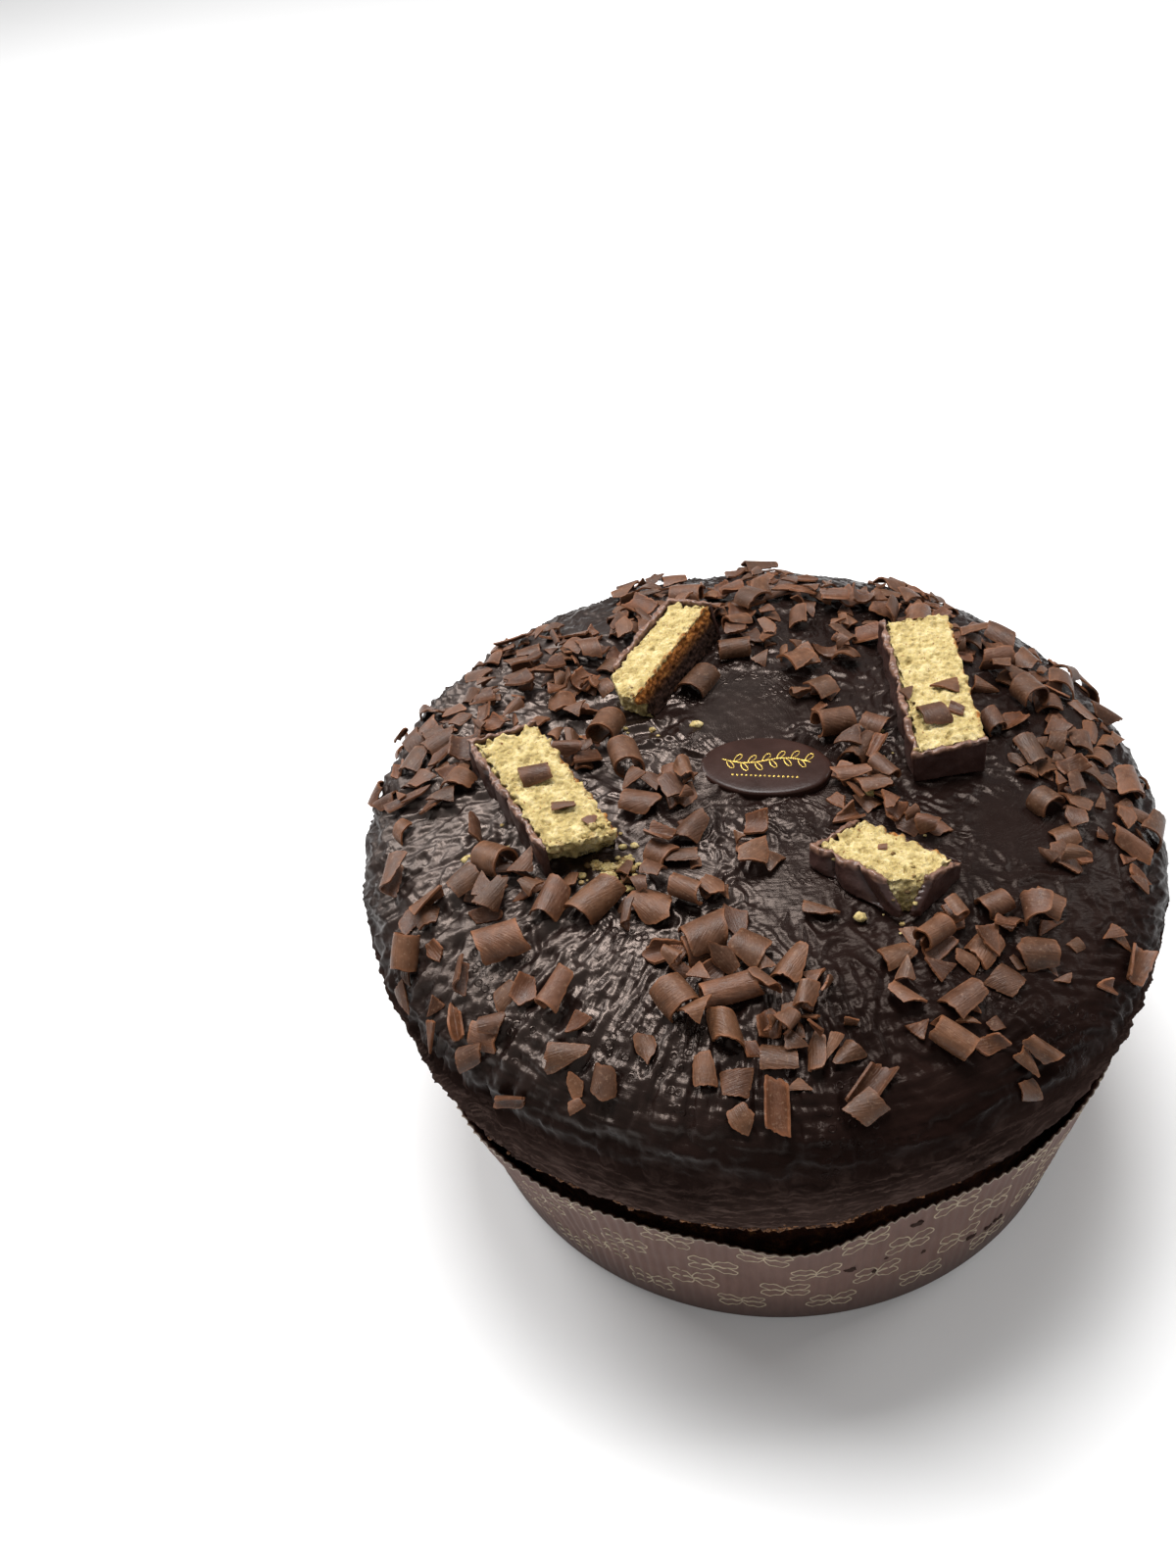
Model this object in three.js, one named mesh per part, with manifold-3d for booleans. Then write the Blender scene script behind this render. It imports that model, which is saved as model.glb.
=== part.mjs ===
// A chocolate-glazed panettone in its low baking-paper case, topped with rolled chocolate
// curls, four cut bars of chocolate-coated sponge cake and an oval chocolate plaque.
// Millimetres, +Z up, origin at the centre of the case's base, front towards -Y.

import * as THREE from 'three';
import { mergeVertices } from 'three/addons/utils/BufferGeometryUtils.js';
import Module from 'manifold-3d';

const wasm = await Module();
wasm.setup();

// ---------------------------------------------------------------- driving dimensions

const GAP = 0.3; // clearance left between pieces that touch on the real cake

// The glazed dome is a superellipse turned about a vertical axis.
const DOME = { radius: 115, equator: 103, rise: 29, drop: 84, power: 2.74, shift: -3 };
// How far the dome tucks in just above the rim of the case: azimuth from the front, millimetres.
const TUCKS = [
  [-180, 3], [-90, 2], [-48, 0], [-33, 2.4], [-21, 4.6], [7, 5], [17, 8], [50, 8.8], [62, 6], [95, 3], [180, 3],
];
const GLAZE = { thickness: 2.6, hem: 63 }; // the glaze stops at the height "hem"

const LOAF = { waist: 97.5, waistTop: 54, waistLow: 46, foot: 95.5 };

const CASE = { baseRadius: 100.4, rimRadius: 106, height: 56, paper: 0.9, floor: 0.8 };
// where the rim of the case is pushed out (+) or in (-): azimuth, millimetres, half-width
const RIM_WAVES = [[-50, 6, 24], [4, 3.2, 8], [26, -3.2, 13], [70, 3, 18], [140, 2, 30], [-125, -2, 30]];

const PLAQUE = { length: 37, width: 23, thickness: 3, bevel: 0.8, turn: -3.5, at: [0.4, -0.9], top: 134.3 };

// The bars: middle of the cut top face, heading of the long side, its rise towards the
// front (pitch), sideways tilt and size. Sides are named along the heading: front (+),
// rear (-), left and right of it. "slant" is how far the rear and the front end run
// forward per millimetre to the left; "corner" is how much of the front right corner
// is missing.
const BAR = { depth: 26, coat: 1.3 };
const BARS = [
  { name: 'bar_1', top: [-60.5, -16.3, 142], heading: -58, pitch: 0, tilt: 3, length: 48.7, width: 18.7,
    slant: [0.2, 0.3], coated: ['right', 'rear'], corner: 0 },
  { name: 'bar_2', top: [-33.2, 41.5, 142], heading: -115.7, pitch: 0, tilt: 15, length: 47, width: 14,
    slant: [0, 0], coated: ['right', 'rear'], corner: 9 },
  { name: 'bar_3', top: [48.6, 26.7, 142], heading: -84.4, pitch: 0, tilt: 2, length: 56, width: 18.7,
    slant: [0, -0.18], coated: ['right', 'front'], corner: 0 },
  { name: 'bar_4', top: [31.5, -36, 136.5], heading: -39, pitch: 8, tilt: -14, length: 28.5, width: 19.5,
    slant: [0, 0], coated: ['right', 'rear', 'left', 'front'], corner: 5.5 },
];

const CURL_THICKNESS = 1;
// Rolled curls and shards: place on the dome (azimuth from the front, distance from its
// axis), heading of the roll's axis, roll about it (0 = back up, 180 = open side up),
// lift of the axis, length, rolled radius, arc of the roll, taper towards the heading.
const CURLS = [
  { at: [-71.5, 103], heading: 80, roll: 60, lift: 0, length: 12, radius: 4.5, arc: 170, taper: 0.1 },
  { at: [-62, 97.5], heading: 30, roll: 60, lift: 0, length: 11, radius: 5, arc: 110, taper: 0.3 },
  { at: [-57.5, 107.5], heading: 65, roll: 0, lift: 12, length: 10, radius: 3.8, arc: 290, taper: 0 },
  { at: [-47, 101], heading: 80, roll: 90, lift: 0, length: 10, radius: 4, arc: 130, taper: 0.2 },
  { at: [-43.5, 108.5], heading: 95, roll: 150, lift: 0, length: 10, radius: 2.6, arc: 150, taper: 0.2 },
  { at: [-38.5, 104], heading: 5, roll: 20, lift: 0, length: 8, radius: 3.2, arc: 160, taper: 0 },
  { at: [-47, 88.5], heading: 15, roll: 10, lift: 0, length: 13, radius: 5.5, arc: 200, taper: 0 },
  { at: [-47, 72.5], heading: 75, roll: 0, lift: 0, length: 12, radius: 6, arc: 160, taper: 0.35 },
  { at: [-62, 78], heading: -30, roll: 0, lift: 12, length: 10, radius: 4.8, arc: 290, taper: 0 },
  { at: [-39.5, 65], heading: 60, roll: 0, lift: 0, length: 13, radius: 5, arc: 200, taper: 0 },
  { at: [-32.5, 90], heading: 60, roll: 60, lift: 0, length: 11, radius: 4, arc: 220, taper: 0 },
  { at: [-26, 101.5], heading: 10, roll: 0, lift: 0, length: 11, radius: 8, arc: 80, taper: 0.8 },
  { at: [-20, 104.5], heading: 90, roll: 0, lift: 0, length: 9, radius: 3.2, arc: 180, taper: 0 },
  { at: [-16, 94.5], heading: -85, roll: 0, lift: 0, length: 8, radius: 7, arc: 80, taper: 0.8 },
  { at: [-31.5, 113.5], heading: 15, roll: 150, lift: 0, length: 10, radius: 4, arc: 120, taper: 0.3 },
  { at: [-27.5, 57.5], heading: 160, roll: 0, lift: 0, length: 12, radius: 6, arc: 150, taper: 0.3 },
  { at: [-11.5, 62], heading: 20, roll: 10, lift: 0, length: 13, radius: 5.5, arc: 190, taper: 0 },
  { at: [-19, 69], heading: 0, roll: 160, lift: 0, length: 11, radius: 5, arc: 110, taper: 0.2 },
  { at: [8, 69], heading: 60, roll: 20, lift: 0, length: 13, radius: 6, arc: 110, taper: 0.7 },
  { at: [-13.5, 81], heading: 120, roll: 0, lift: 0, length: 9, radius: 4.8, arc: 240, taper: 0.1 },
  { at: [-4, 77.5], heading: 10, roll: 0, lift: 0, length: 14, radius: 3.5, arc: 300, taper: 0 },
  { at: [-4.5, 87], heading: 90, roll: 0, lift: 0, length: 8, radius: 5.5, arc: 170, taper: 0 },
  { at: [3.5, 93], heading: 0, roll: 20, lift: 0, length: 9, radius: 5, arc: 110, taper: 0 },
  { at: [3, 104], heading: 90, roll: 180, lift: 0, length: 13, radius: 3.5, arc: 150, taper: 0.1 },
  { at: [9.5, 92], heading: 85, roll: 30, lift: 0, length: 11, radius: 5, arc: 90, taper: 0.6 },
  { at: [15.5, 102], heading: 60, roll: 180, lift: 0, length: 14, radius: 3.2, arc: 170, taper: 0 },
  { at: [18, 54], heading: -20, roll: 30, lift: 0, length: 10, radius: 6, arc: 80, taper: 0.6 },
  { at: [37, 76], heading: 45, roll: 150, lift: 0, length: 10, radius: 5, arc: 120, taper: 0.2 },
  { at: [43.5, 84], heading: 50, roll: 0, lift: 0, length: 10, radius: 5, arc: 130, taper: 0.3 },
  { at: [49, 93], heading: 10, roll: -10, lift: 0, length: 11, radius: 6.3, arc: 130, taper: 0.2 },
  { at: [34, 91], heading: 40, roll: 20, lift: 0, length: 11, radius: 7, arc: 90, taper: 0.3 },
  { at: [28.5, 98], heading: -40, roll: 0, lift: 0, length: 11, radius: 3.6, arc: 300, taper: 0 },
  { at: [26, 85], heading: -30, roll: 40, lift: 0, length: 9, radius: 4, arc: 110, taper: 0 },
  { at: [-62, 35], heading: -20, roll: 0, lift: 0, length: 11, radius: 5, arc: 180, taper: 0.3 },
  { at: [-88, 36], heading: -80, roll: 0, lift: 6, length: 11, radius: 4.5, arc: 320, taper: 0 },
  { at: [-33, 31], heading: 60, roll: 0, lift: 0, length: 11, radius: 5.5, arc: 140, taper: 0.4 },
  { at: [-107, 45], heading: -95, roll: 0, lift: 6, length: 9, radius: 4.2, arc: 320, taper: 0 },
  { at: [-154, 38.5], heading: 70, roll: 0, lift: 0, length: 11, radius: 4.5, arc: 200, taper: 0 },
  { at: [-173, 50], heading: 8, roll: 0, lift: 0, length: 10, radius: 3.2, arc: 290, taper: 0 },
  { at: [100, 30.5], heading: 60, roll: 0, lift: 0, length: 12, radius: 5.5, arc: 170, taper: 0.4 },
];

// Crumbs fallen from the sponge: place on the dome and size.
const CRUMBS = [
  { at: [-68, 84], size: 2.6 },
  { at: [-136, 24], size: 2.2 },
  { at: [70, 33], size: 2.4 },
  { at: [27, 60], size: 2 },
];

const COLOURS = {
  glaze: 0x2d2121, loaf: 0xa5652f, paper: 0x76665f, plaque: 0x3b2624,
  sponge: 0xe8cd6e, coat: 0x503430, curl: 0x785646, crumb: 0xf0dc8c,
};

// ---------------------------------------------------------------- small helpers

const DEGREE = Math.PI / 180;

function material(colour, roughness) {
  return new THREE.MeshStandardMaterial({ color: colour, roughness, metalness: 0 });
}

function solid(geometry) {
  const bare = geometry.clone();
  bare.deleteAttribute('normal');
  bare.deleteAttribute('uv');
  const merged = mergeVertices(bare, 1e-4);
  return new wasm.Manifold(new wasm.Mesh({
    numProp: 3,
    vertProperties: new Float32Array(merged.attributes.position.array),
    triVerts: new Uint32Array(merged.index.array),
  }));
}

function geometryOf(manifold) {
  const { vertProperties, triVerts } = manifold.getMesh();
  const geometry = new THREE.BufferGeometry();
  geometry.setAttribute('position', new THREE.BufferAttribute(vertProperties, 3));
  geometry.setIndex(new THREE.BufferAttribute(triVerts, 1));
  geometry.computeVertexNormals();
  return geometry;
}

function moved(geometry, change) {
  const positions = geometry.attributes.position;
  const point = new THREE.Vector3();
  for (let i = 0; i < positions.count; i += 1) {
    point.fromBufferAttribute(positions, i);
    change(point);
    positions.setXYZ(i, point.x, point.y, point.z);
  }
  return geometry;
}

function smoothstep(low, high, value) {
  return THREE.MathUtils.smoothstep(value, low, high);
}

// ---------------------------------------------------------------- the dome's shape

function domeShift(z) {
  return DOME.shift * smoothstep(48, DOME.equator, z);
}

// Radius and height on the dome, "inset" below its skin; elevation 90 is the apex.
function domePoint(elevation, inset = 0) {
  const height = elevation < 0 ? DOME.drop : DOME.rise;
  const across = Math.abs(Math.cos(elevation * DEGREE)) ** (2 / DOME.power);
  const up = Math.abs(Math.sin(elevation * DEGREE)) ** (2 / DOME.power);
  return new THREE.Vector2(
    (DOME.radius - inset) * across,
    DOME.equator + Math.sign(elevation) * (height - inset) * up,
  );
}

function elevationAtHeight(z) {
  const height = z < DOME.equator ? DOME.drop : DOME.rise;
  const up = Math.min(Math.abs(z - DOME.equator) / height, 1) ** (DOME.power / 2);
  return Math.sign(z - DOME.equator) * Math.asin(up) / DEGREE;
}

// How far a point is outside the dome's skin, to first order.
function heightAboveDome(point) {
  const x = point.x - domeShift(point.z);
  const z = point.z - DOME.equator;
  const height = z < 0 ? DOME.drop : DOME.rise;
  const across = Math.hypot(x, point.y) / DOME.radius;
  const up = Math.abs(z) / height;
  const level = (across ** DOME.power + up ** DOME.power) ** (1 / DOME.power);
  const slope = Math.hypot(
    (across / level) ** (DOME.power - 1) / DOME.radius,
    (up / level) ** (DOME.power - 1) / height,
  );
  return (level - 1) / slope;
}

// A place on the dome's upper skin with its outward normal.
function domePlace([azimuth, distance]) {
  const up = (1 - (distance / DOME.radius) ** DOME.power) ** (1 / DOME.power);
  const across = distance / DOME.radius;
  const normal = new THREE.Vector3(
    Math.sin(azimuth * DEGREE) * across ** (DOME.power - 1) / DOME.radius,
    -Math.cos(azimuth * DEGREE) * across ** (DOME.power - 1) / DOME.radius,
    up ** (DOME.power - 1) / DOME.rise,
  ).normalize();
  const position = new THREE.Vector3(
    DOME.shift + distance * Math.sin(azimuth * DEGREE),
    -distance * Math.cos(azimuth * DEGREE),
    DOME.equator + DOME.rise * up,
  );
  return { position, normal };
}

// ---------------------------------------------------------------- turned pieces

function turned(profile, segments) {
  const geometry = new THREE.LatheGeometry(profile, segments);
  geometry.rotateX(Math.PI / 2);
  return geometry;
}

function domeArc(fromElevation, toElevation, steps, inset) {
  const arc = [];
  for (let i = 0; i <= steps; i += 1) {
    const elevation = THREE.MathUtils.lerp(fromElevation, toElevation, i / steps);
    const point = domePoint(elevation, inset);
    if (Math.abs(elevation) === 90) point.x = 0;
    arc.push(point);
  }
  return arc;
}

function shifted(geometry) {
  return moved(geometry, (point) => { point.x += domeShift(point.z); });
}

// Moves the skin of the dome in where it narrows above the case.
function tuckedIn(geometry) {
  return moved(geometry, (point) => {
    const share = (1 - smoothstep(62, 96, point.z)) * smoothstep(44, 56, point.z);
    const distance = Math.hypot(point.x, point.y);
    if (share === 0 || distance < 1) return;
    const azimuth = Math.atan2(point.x, -point.y) / DEGREE;
    const next = Math.max(TUCKS.findIndex(([place]) => place >= azimuth), 1);
    const [[from, start], [to, end]] = TUCKS.slice(next - 1, next + 1);
    const depth = THREE.MathUtils.mapLinear(azimuth, from, to, start, end);
    const scale = 1 - depth * share / distance;
    point.x *= scale;
    point.y *= scale;
  });
}

function makeGlaze() {
  const hem = elevationAtHeight(GLAZE.hem);
  const inner = domeArc(hem, 90, 11, GLAZE.thickness).reverse();
  const outer = domeArc(hem, 90, 14, 0);
  return tuckedIn(shifted(turned([...inner, ...outer], 56)));
}

function makeLoaf() {
  const inset = GLAZE.thickness + 2 * GAP;
  const shoulder = domeArc(elevationAtHeight(GLAZE.hem + 1), 90, 11, inset);
  const profile = [
    new THREE.Vector2(0, CASE.floor + GAP),
    new THREE.Vector2(LOAF.foot - 3, CASE.floor + GAP),
    new THREE.Vector2(LOAF.foot, CASE.floor + 3),
    new THREE.Vector2(LOAF.waist, LOAF.waistLow),
    new THREE.Vector2(LOAF.waist + 2.5, LOAF.waistTop),
    ...shoulder,
  ];
  return tuckedIn(shifted(turned(profile, 56)));
}

function rimWave(azimuth) {
  return RIM_WAVES.reduce((sum, [centre, push, halfWidth]) => {
    const away = THREE.MathUtils.euclideanModulo(azimuth - centre + 180, 360) - 180;
    return sum + push * Math.exp(-((away / halfWidth) ** 2));
  }, 0);
}

function makeCase() {
  const slope = (CASE.rimRadius - CASE.baseRadius) / CASE.height;
  const outer = (z) => new THREE.Vector2(CASE.baseRadius + slope * z, z);
  const inner = (z) => new THREE.Vector2(CASE.baseRadius + slope * z - CASE.paper, z);
  const heights = [20, 40, CASE.height];
  const profile = [
    new THREE.Vector2(0, 0),
    outer(0),
    ...heights.map(outer),
    ...heights.map(inner).reverse(),
    inner(CASE.floor),
    new THREE.Vector2(0, CASE.floor),
  ];
  return moved(turned(profile, 72), (point) => {
    const azimuth = Math.atan2(point.x, -point.y) / DEGREE;
    const radius = Math.hypot(point.x, point.y);
    if (radius < 1) return;
    const climb = Math.max(point.z, 0) / CASE.height;
    const push = 1 + rimWave(azimuth) * climb ** 1.5 / radius;
    point.x *= push;
    point.y *= push;
  });
}

// ---------------------------------------------------------------- plaque

function makePlaque() {
  const outline = new THREE.Shape();
  const { bevel, thickness } = PLAQUE;
  outline.absellipse(0, 0, PLAQUE.length / 2 - bevel, PLAQUE.width / 2 - bevel, 0, 2 * Math.PI);
  const geometry = new THREE.ExtrudeGeometry(outline, {
    depth: thickness - 2 * bevel, bevelThickness: bevel, bevelSize: bevel, bevelSegments: 2, curveSegments: 20,
  });
  geometry.rotateZ(PLAQUE.turn * DEGREE);
  geometry.translate(...PLAQUE.at, PLAQUE.top - thickness + bevel);
  return geometry;
}

// ---------------------------------------------------------------- sponge bars

// A closed solid of everything under the dome's skin, grown outwards by "margin".
function domeSolid(margin) {
  const arc = domeArc(-30, 90, 22, -margin);
  return solid(shifted(turned([new THREE.Vector2(0, arc[0].y), ...arc], 64)));
}

function barMatrix(bar) {
  const turn = new THREE.Matrix4().makeRotationZ(bar.heading * DEGREE);
  const pitch = new THREE.Matrix4().makeRotationY(-bar.pitch * DEGREE);
  const tilt = new THREE.Matrix4().makeRotationX(bar.tilt * DEGREE);
  return new THREE.Matrix4().makeTranslation(...bar.top).multiply(turn).multiply(pitch).multiply(tilt);
}

// A box from the bar's top face down, each side moved out by its own amount.
function barBox(bar, grow) {
  const length = bar.length + (grow.front ?? 0) + (grow.rear ?? 0);
  const width = bar.width + (grow.left ?? 0) + (grow.right ?? 0);
  const box = new THREE.BoxGeometry(length, width, BAR.depth);
  box.translate(
    ((grow.front ?? 0) - (grow.rear ?? 0)) / 2,
    ((grow.left ?? 0) - (grow.right ?? 0)) / 2,
    (grow.top ?? 0) - BAR.depth / 2,
  );
  const [rearSlant, frontSlant] = bar.slant;
  moved(box, (point) => { point.x += (point.x > 0 ? frontSlant : rearSlant) * point.y; });
  box.applyMatrix4(barMatrix(bar));
  return solid(box);
}

// Cuts the front right corner off along a plane "leg" back along each side.
function cornerCutter(bar, leg) {
  const half = 1.5 * leg;
  const beyond = (half - leg / Math.SQRT2) / Math.SQRT2;
  const box = new THREE.BoxGeometry(2 * half, 2 * half, 3 * BAR.depth);
  box.rotateZ(45 * DEGREE);
  box.translate(bar.length / 2 + beyond, -bar.width / 2 - beyond, 0);
  box.applyMatrix4(barMatrix(bar));
  return solid(box);
}

function makeBar(bar, cake) {
  const side = (amount) => Object.fromEntries(bar.coated.map((name) => [name, amount]));
  let sponge = barBox(bar, {}).subtract(cake);
  let coat = barBox(bar, { ...side(GAP + BAR.coat), top: 0.4 })
    .subtract(uncoatedRoom(bar))
    .subtract(cake);
  if (bar.corner > 0) {
    sponge = sponge.subtract(cornerCutter(bar, bar.corner));
    coat = coat.subtract(cornerCutter(bar, bar.corner + 2 * BAR.coat));
  }
  return { sponge, coat };
}

// The room that the coat leaves free: the sponge itself and all beyond its open sides.
function uncoatedRoom(bar) {
  const grow = { top: 2 };
  for (const name of ['front', 'rear', 'left', 'right']) {
    grow[name] = bar.coated.includes(name) ? GAP : 2;
  }
  return barBox(bar, grow);
}

// ---------------------------------------------------------------- curls and crumbs

// A sheet rolled about the X axis: its back faces +Z at roll 0.
function rolledSheet({ length, radius, arc, taper }) {
  const half = arc * DEGREE / 2;
  const middle = Math.PI / 2;
  const sheet = new THREE.Shape();
  sheet.absarc(0, 0, radius, middle - half, middle + half, false);
  sheet.absarc(0, 0, radius - CURL_THICKNESS, middle + half, middle - half, true);
  const geometry = new THREE.ExtrudeGeometry(sheet, {
    depth: length, bevelEnabled: false, curveSegments: Math.max(5, Math.round(arc / 28)),
  });
  geometry.translate(0, 0, -length / 2);
  moved(geometry, (point) => {
    const narrow = 1 - taper * (point.z / length + 0.5);
    const turn = (Math.atan2(point.y, point.x) - middle) * narrow + middle;
    const away = Math.hypot(point.x, point.y);
    point.set(away * Math.cos(turn), away * Math.sin(turn), point.z);
  });
  geometry.translate(0, -radius * Math.cos(Math.min(half, Math.PI)) / 2 - radius / 2, 0);
  return geometry.rotateX(Math.PI / 2).rotateZ(Math.PI / 2);
}

function curlFrame(curl) {
  const { position, normal } = domePlace(curl.at);
  const compass = new THREE.Vector3(Math.cos(curl.heading * DEGREE), Math.sin(curl.heading * DEGREE), 0);
  const along = compass.addScaledVector(normal, -compass.dot(normal)).normalize();
  const across = new THREE.Vector3().crossVectors(normal, along);
  const frame = new THREE.Matrix4().makeBasis(along, across, normal).setPosition(position);
  frame.multiply(new THREE.Matrix4().makeRotationY(-curl.lift * DEGREE));
  return frame.multiply(new THREE.Matrix4().makeRotationX(-curl.roll * DEGREE));
}

// Lifts a piece along the normal until it clears the dome and every piece before it.
function settled(geometry, { normal }, neighbours) {
  const lowest = () => {
    const point = new THREE.Vector3();
    let height = Infinity;
    moved(geometry, (vertex) => { height = Math.min(height, heightAboveDome(point.copy(vertex))); });
    return height;
  };
  for (let pass = 0; pass < 4; pass += 1) {
    const rise = GAP - lowest();
    geometry.translate(normal.x * rise, normal.y * rise, normal.z * rise);
  }
  const hits = () => {
    const grown = solid(geometry);
    return neighbours.some((other) => !grown.intersect(other).isEmpty());
  };
  const step = 0.4;
  while (hits()) geometry.translate(normal.x * step, normal.y * step, normal.z * step);
  return geometry;
}

// ---------------------------------------------------------------- assembly

const panettone = new THREE.Group();
panettone.name = 'panettone';

function add(name, geometry, look) {
  const mesh = new THREE.Mesh(geometry, look);
  mesh.name = name;
  panettone.add(mesh);
}

function twoDigits(index) {
  return String(index + 1).padStart(2, '0');
}

add('paper_case', geometryOf(solid(makeCase())), material(COLOURS.paper, 0.75));
add('loaf', geometryOf(solid(makeLoaf())), material(COLOURS.loaf, 0.85));

const plaque = solid(makePlaque());
const plaquePocket = solid(makePlaque().translate(-PLAQUE.at[0], -PLAQUE.at[1], -PLAQUE.top)
  .scale(1.03, 1.05, 1.2).translate(...PLAQUE.at, PLAQUE.top));
const glaze = solid(makeGlaze()).subtract(plaquePocket);
add('chocolate_glaze', geometryOf(glaze), material(COLOURS.glaze, 0.35));
add('plaque', geometryOf(plaque), material(COLOURS.plaque, 0.4));

const cake = domeSolid(GAP);
const standing = [plaque];
for (const bar of BARS) {
  const { sponge, coat } = makeBar(bar, cake);
  add(`${bar.name}_sponge`, geometryOf(sponge), material(COLOURS.sponge, 0.95));
  add(`${bar.name}_coat`, geometryOf(coat), material(COLOURS.coat, 0.4));
  standing.push(sponge, coat);
}

CURLS.forEach((curl, index) => {
  const geometry = rolledSheet(curl).applyMatrix4(curlFrame(curl));
  settled(geometry, domePlace(curl.at), standing);
  const piece = solid(geometry);
  add(`curl_${twoDigits(index)}`, geometryOf(piece), material(COLOURS.curl, 0.5));
  standing.push(piece);
});

CRUMBS.forEach((crumb, index) => {
  const place = domePlace(crumb.at);
  const geometry = new THREE.IcosahedronGeometry(crumb.size / 2, 1).scale(1.2, 0.9, 0.8);
  geometry.translate(...place.position);
  settled(geometry, place, standing);
  add(`crumb_${twoDigits(index)}`, geometryOf(solid(geometry)), material(COLOURS.crumb, 0.95));
});

export default panettone;
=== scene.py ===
"""The looks of the panettone: glaze, crust, fluted paper case, curls, sponge bars and plaque."""

from collections import namedtuple
from itertools import product
from math import cos, pi, radians, sin

import bpy
import numpy as np
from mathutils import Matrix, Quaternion, Vector
from mathutils.bvhtree import BVHTree


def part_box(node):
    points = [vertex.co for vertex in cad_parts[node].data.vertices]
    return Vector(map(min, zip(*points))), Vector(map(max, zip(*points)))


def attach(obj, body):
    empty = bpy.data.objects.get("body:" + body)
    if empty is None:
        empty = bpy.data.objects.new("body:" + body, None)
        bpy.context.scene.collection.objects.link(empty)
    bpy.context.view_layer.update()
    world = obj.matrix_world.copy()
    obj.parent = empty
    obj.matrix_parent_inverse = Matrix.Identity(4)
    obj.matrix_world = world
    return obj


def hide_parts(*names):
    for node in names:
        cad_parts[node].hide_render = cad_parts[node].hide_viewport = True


MM = 0.001
TAU = 2 * pi

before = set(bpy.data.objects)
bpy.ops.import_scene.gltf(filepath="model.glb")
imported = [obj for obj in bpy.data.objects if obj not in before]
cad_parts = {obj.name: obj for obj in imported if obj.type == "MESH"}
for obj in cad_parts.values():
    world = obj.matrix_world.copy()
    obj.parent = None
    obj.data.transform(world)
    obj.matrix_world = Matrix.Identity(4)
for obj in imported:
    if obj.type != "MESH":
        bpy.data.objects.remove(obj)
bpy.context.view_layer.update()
BODY = "root"

# ---- the cake's own shape, in mm

# the dome bulges out to its radius at the equator, rises above it and drops below it
DOME_RADIUS, EQUATOR, RISE, DROP, POWER = 115.0, 103.0, 29.0, 84.0, 2.74
# how far the top of the dome leans off the axis of the case
DOME_SHIFT = -3.0
# how far the dome tucks in above the case's rim: azimuth and millimetres
TUCKS = ((-180, 3), (-90, 2), (-48, 0), (-33, 2.4), (-21, 4.6), (7, 5), (17, 8), (50, 8.8), (62, 6),
         (95, 3), (180, 3))
GLAZE_THICKNESS = 2.6
HEM_HEIGHT = 63.0
CASE_HEIGHT, CASE_BASE_RADIUS, CASE_RIM_RADIUS = 56.0, 100.4, 106.0
CASE_FLOOR, PAPER = 0.8, 0.55
SCALLOP_FOOT = CASE_HEIGHT - 1.2
FLUTES = 204
# where the rim of the case is pushed out or in: azimuth, millimetres, half-width
RIM_WAVES = ((-50, 6, 24), (4, 3.2, 8), (26, -3.2, 13), (70, 3, 18), (140, 2, 30), (-125, -2, 30))

# place is the middle of a bar's cut top face and heading is that of its long side; slants are how
# far its rear and front end run forward per millimetre to the left
Bar = namedtuple("Bar", "place heading pitch tilt length width slants")
BARS = {
    "bar_1": Bar((-60.5, -16.3, 142), -58, 0, 3, 48.7, 18.7, (0.2, 0.3)),
    "bar_2": Bar((-33.2, 41.5, 142), -115.7, 0, 15, 47, 14, (0, 0)),
    "bar_3": Bar((48.6, 26.7, 142), -84.4, 0, 2, 56, 18.7, (0, -0.18)),
    "bar_4": Bar((31.5, -36, 136.5), -39, 8, -14, 28.5, 19.5, (0, 0)),
}

# ---- noise


class Noise:
    """Smooth gradient noise in three dimensions, about -1 to 1, the same on every run."""

    def __init__(self, seed):
        rng = np.random.default_rng(seed)
        self.order = rng.permutation(256)
        directions = rng.normal(size=(256, 3))
        self.slopes = directions / np.linalg.norm(directions, axis=1, keepdims=True)

    def __call__(self, points):
        cell = np.floor(points).astype(int)
        inside = points - cell
        fade = inside**3 * (inside * (inside * 6 - 15) + 10)
        total = np.zeros(len(points))
        for corner in product((0, 1), repeat=3):
            x, y, z = ((cell + corner) & 255).T
            key = self.order[(self.order[(self.order[x] + y) & 255] + z) & 255]
            slope = np.einsum("ij,ij->i", self.slopes[key], inside - corner)
            weight = np.prod(np.where(corner, fade, 1 - fade), axis=1)
            total += slope * weight
        return total * 1.6


def ridged(values, sharpness=2.0):
    """Turns noise into thin raised creases, 0 to 1."""
    return (1 - np.abs(np.clip(values, -1, 1))) ** sharpness


def smoothstep(low, high, value):
    t = np.clip((value - low) / (high - low), 0, 1)
    return t * t * (3 - 2 * t)


# ---- meshes and pieces


def mesh_object(name, vertices, faces, material, slot):
    """An object from millimetre vertices that rides on the only body."""
    mesh = bpy.data.meshes.new(name)
    vertices = np.asarray(vertices, dtype=float) * MM
    mesh.from_pydata(vertices.tolist(), [], faces if isinstance(faces, list) else faces.tolist())
    mesh.validate()
    mesh.shade_smooth()
    mesh.materials.append(material)
    piece = bpy.data.objects.new(name, mesh)
    bpy.context.scene.collection.objects.link(piece)
    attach(piece, BODY)
    return piece


def grid_faces(rows, columns, wrap=False):
    """Quads of a grid whose vertices run row by row; wrap joins the last column to the first."""
    row = np.arange(rows - 1)[:, None]
    column = np.arange(columns if wrap else columns - 1)[None, :]
    following = (column + 1) % columns
    a, b = row * columns + column, row * columns + following
    return np.stack([a, a + columns, b + columns, b], axis=-1).reshape(-1, 4)


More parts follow.
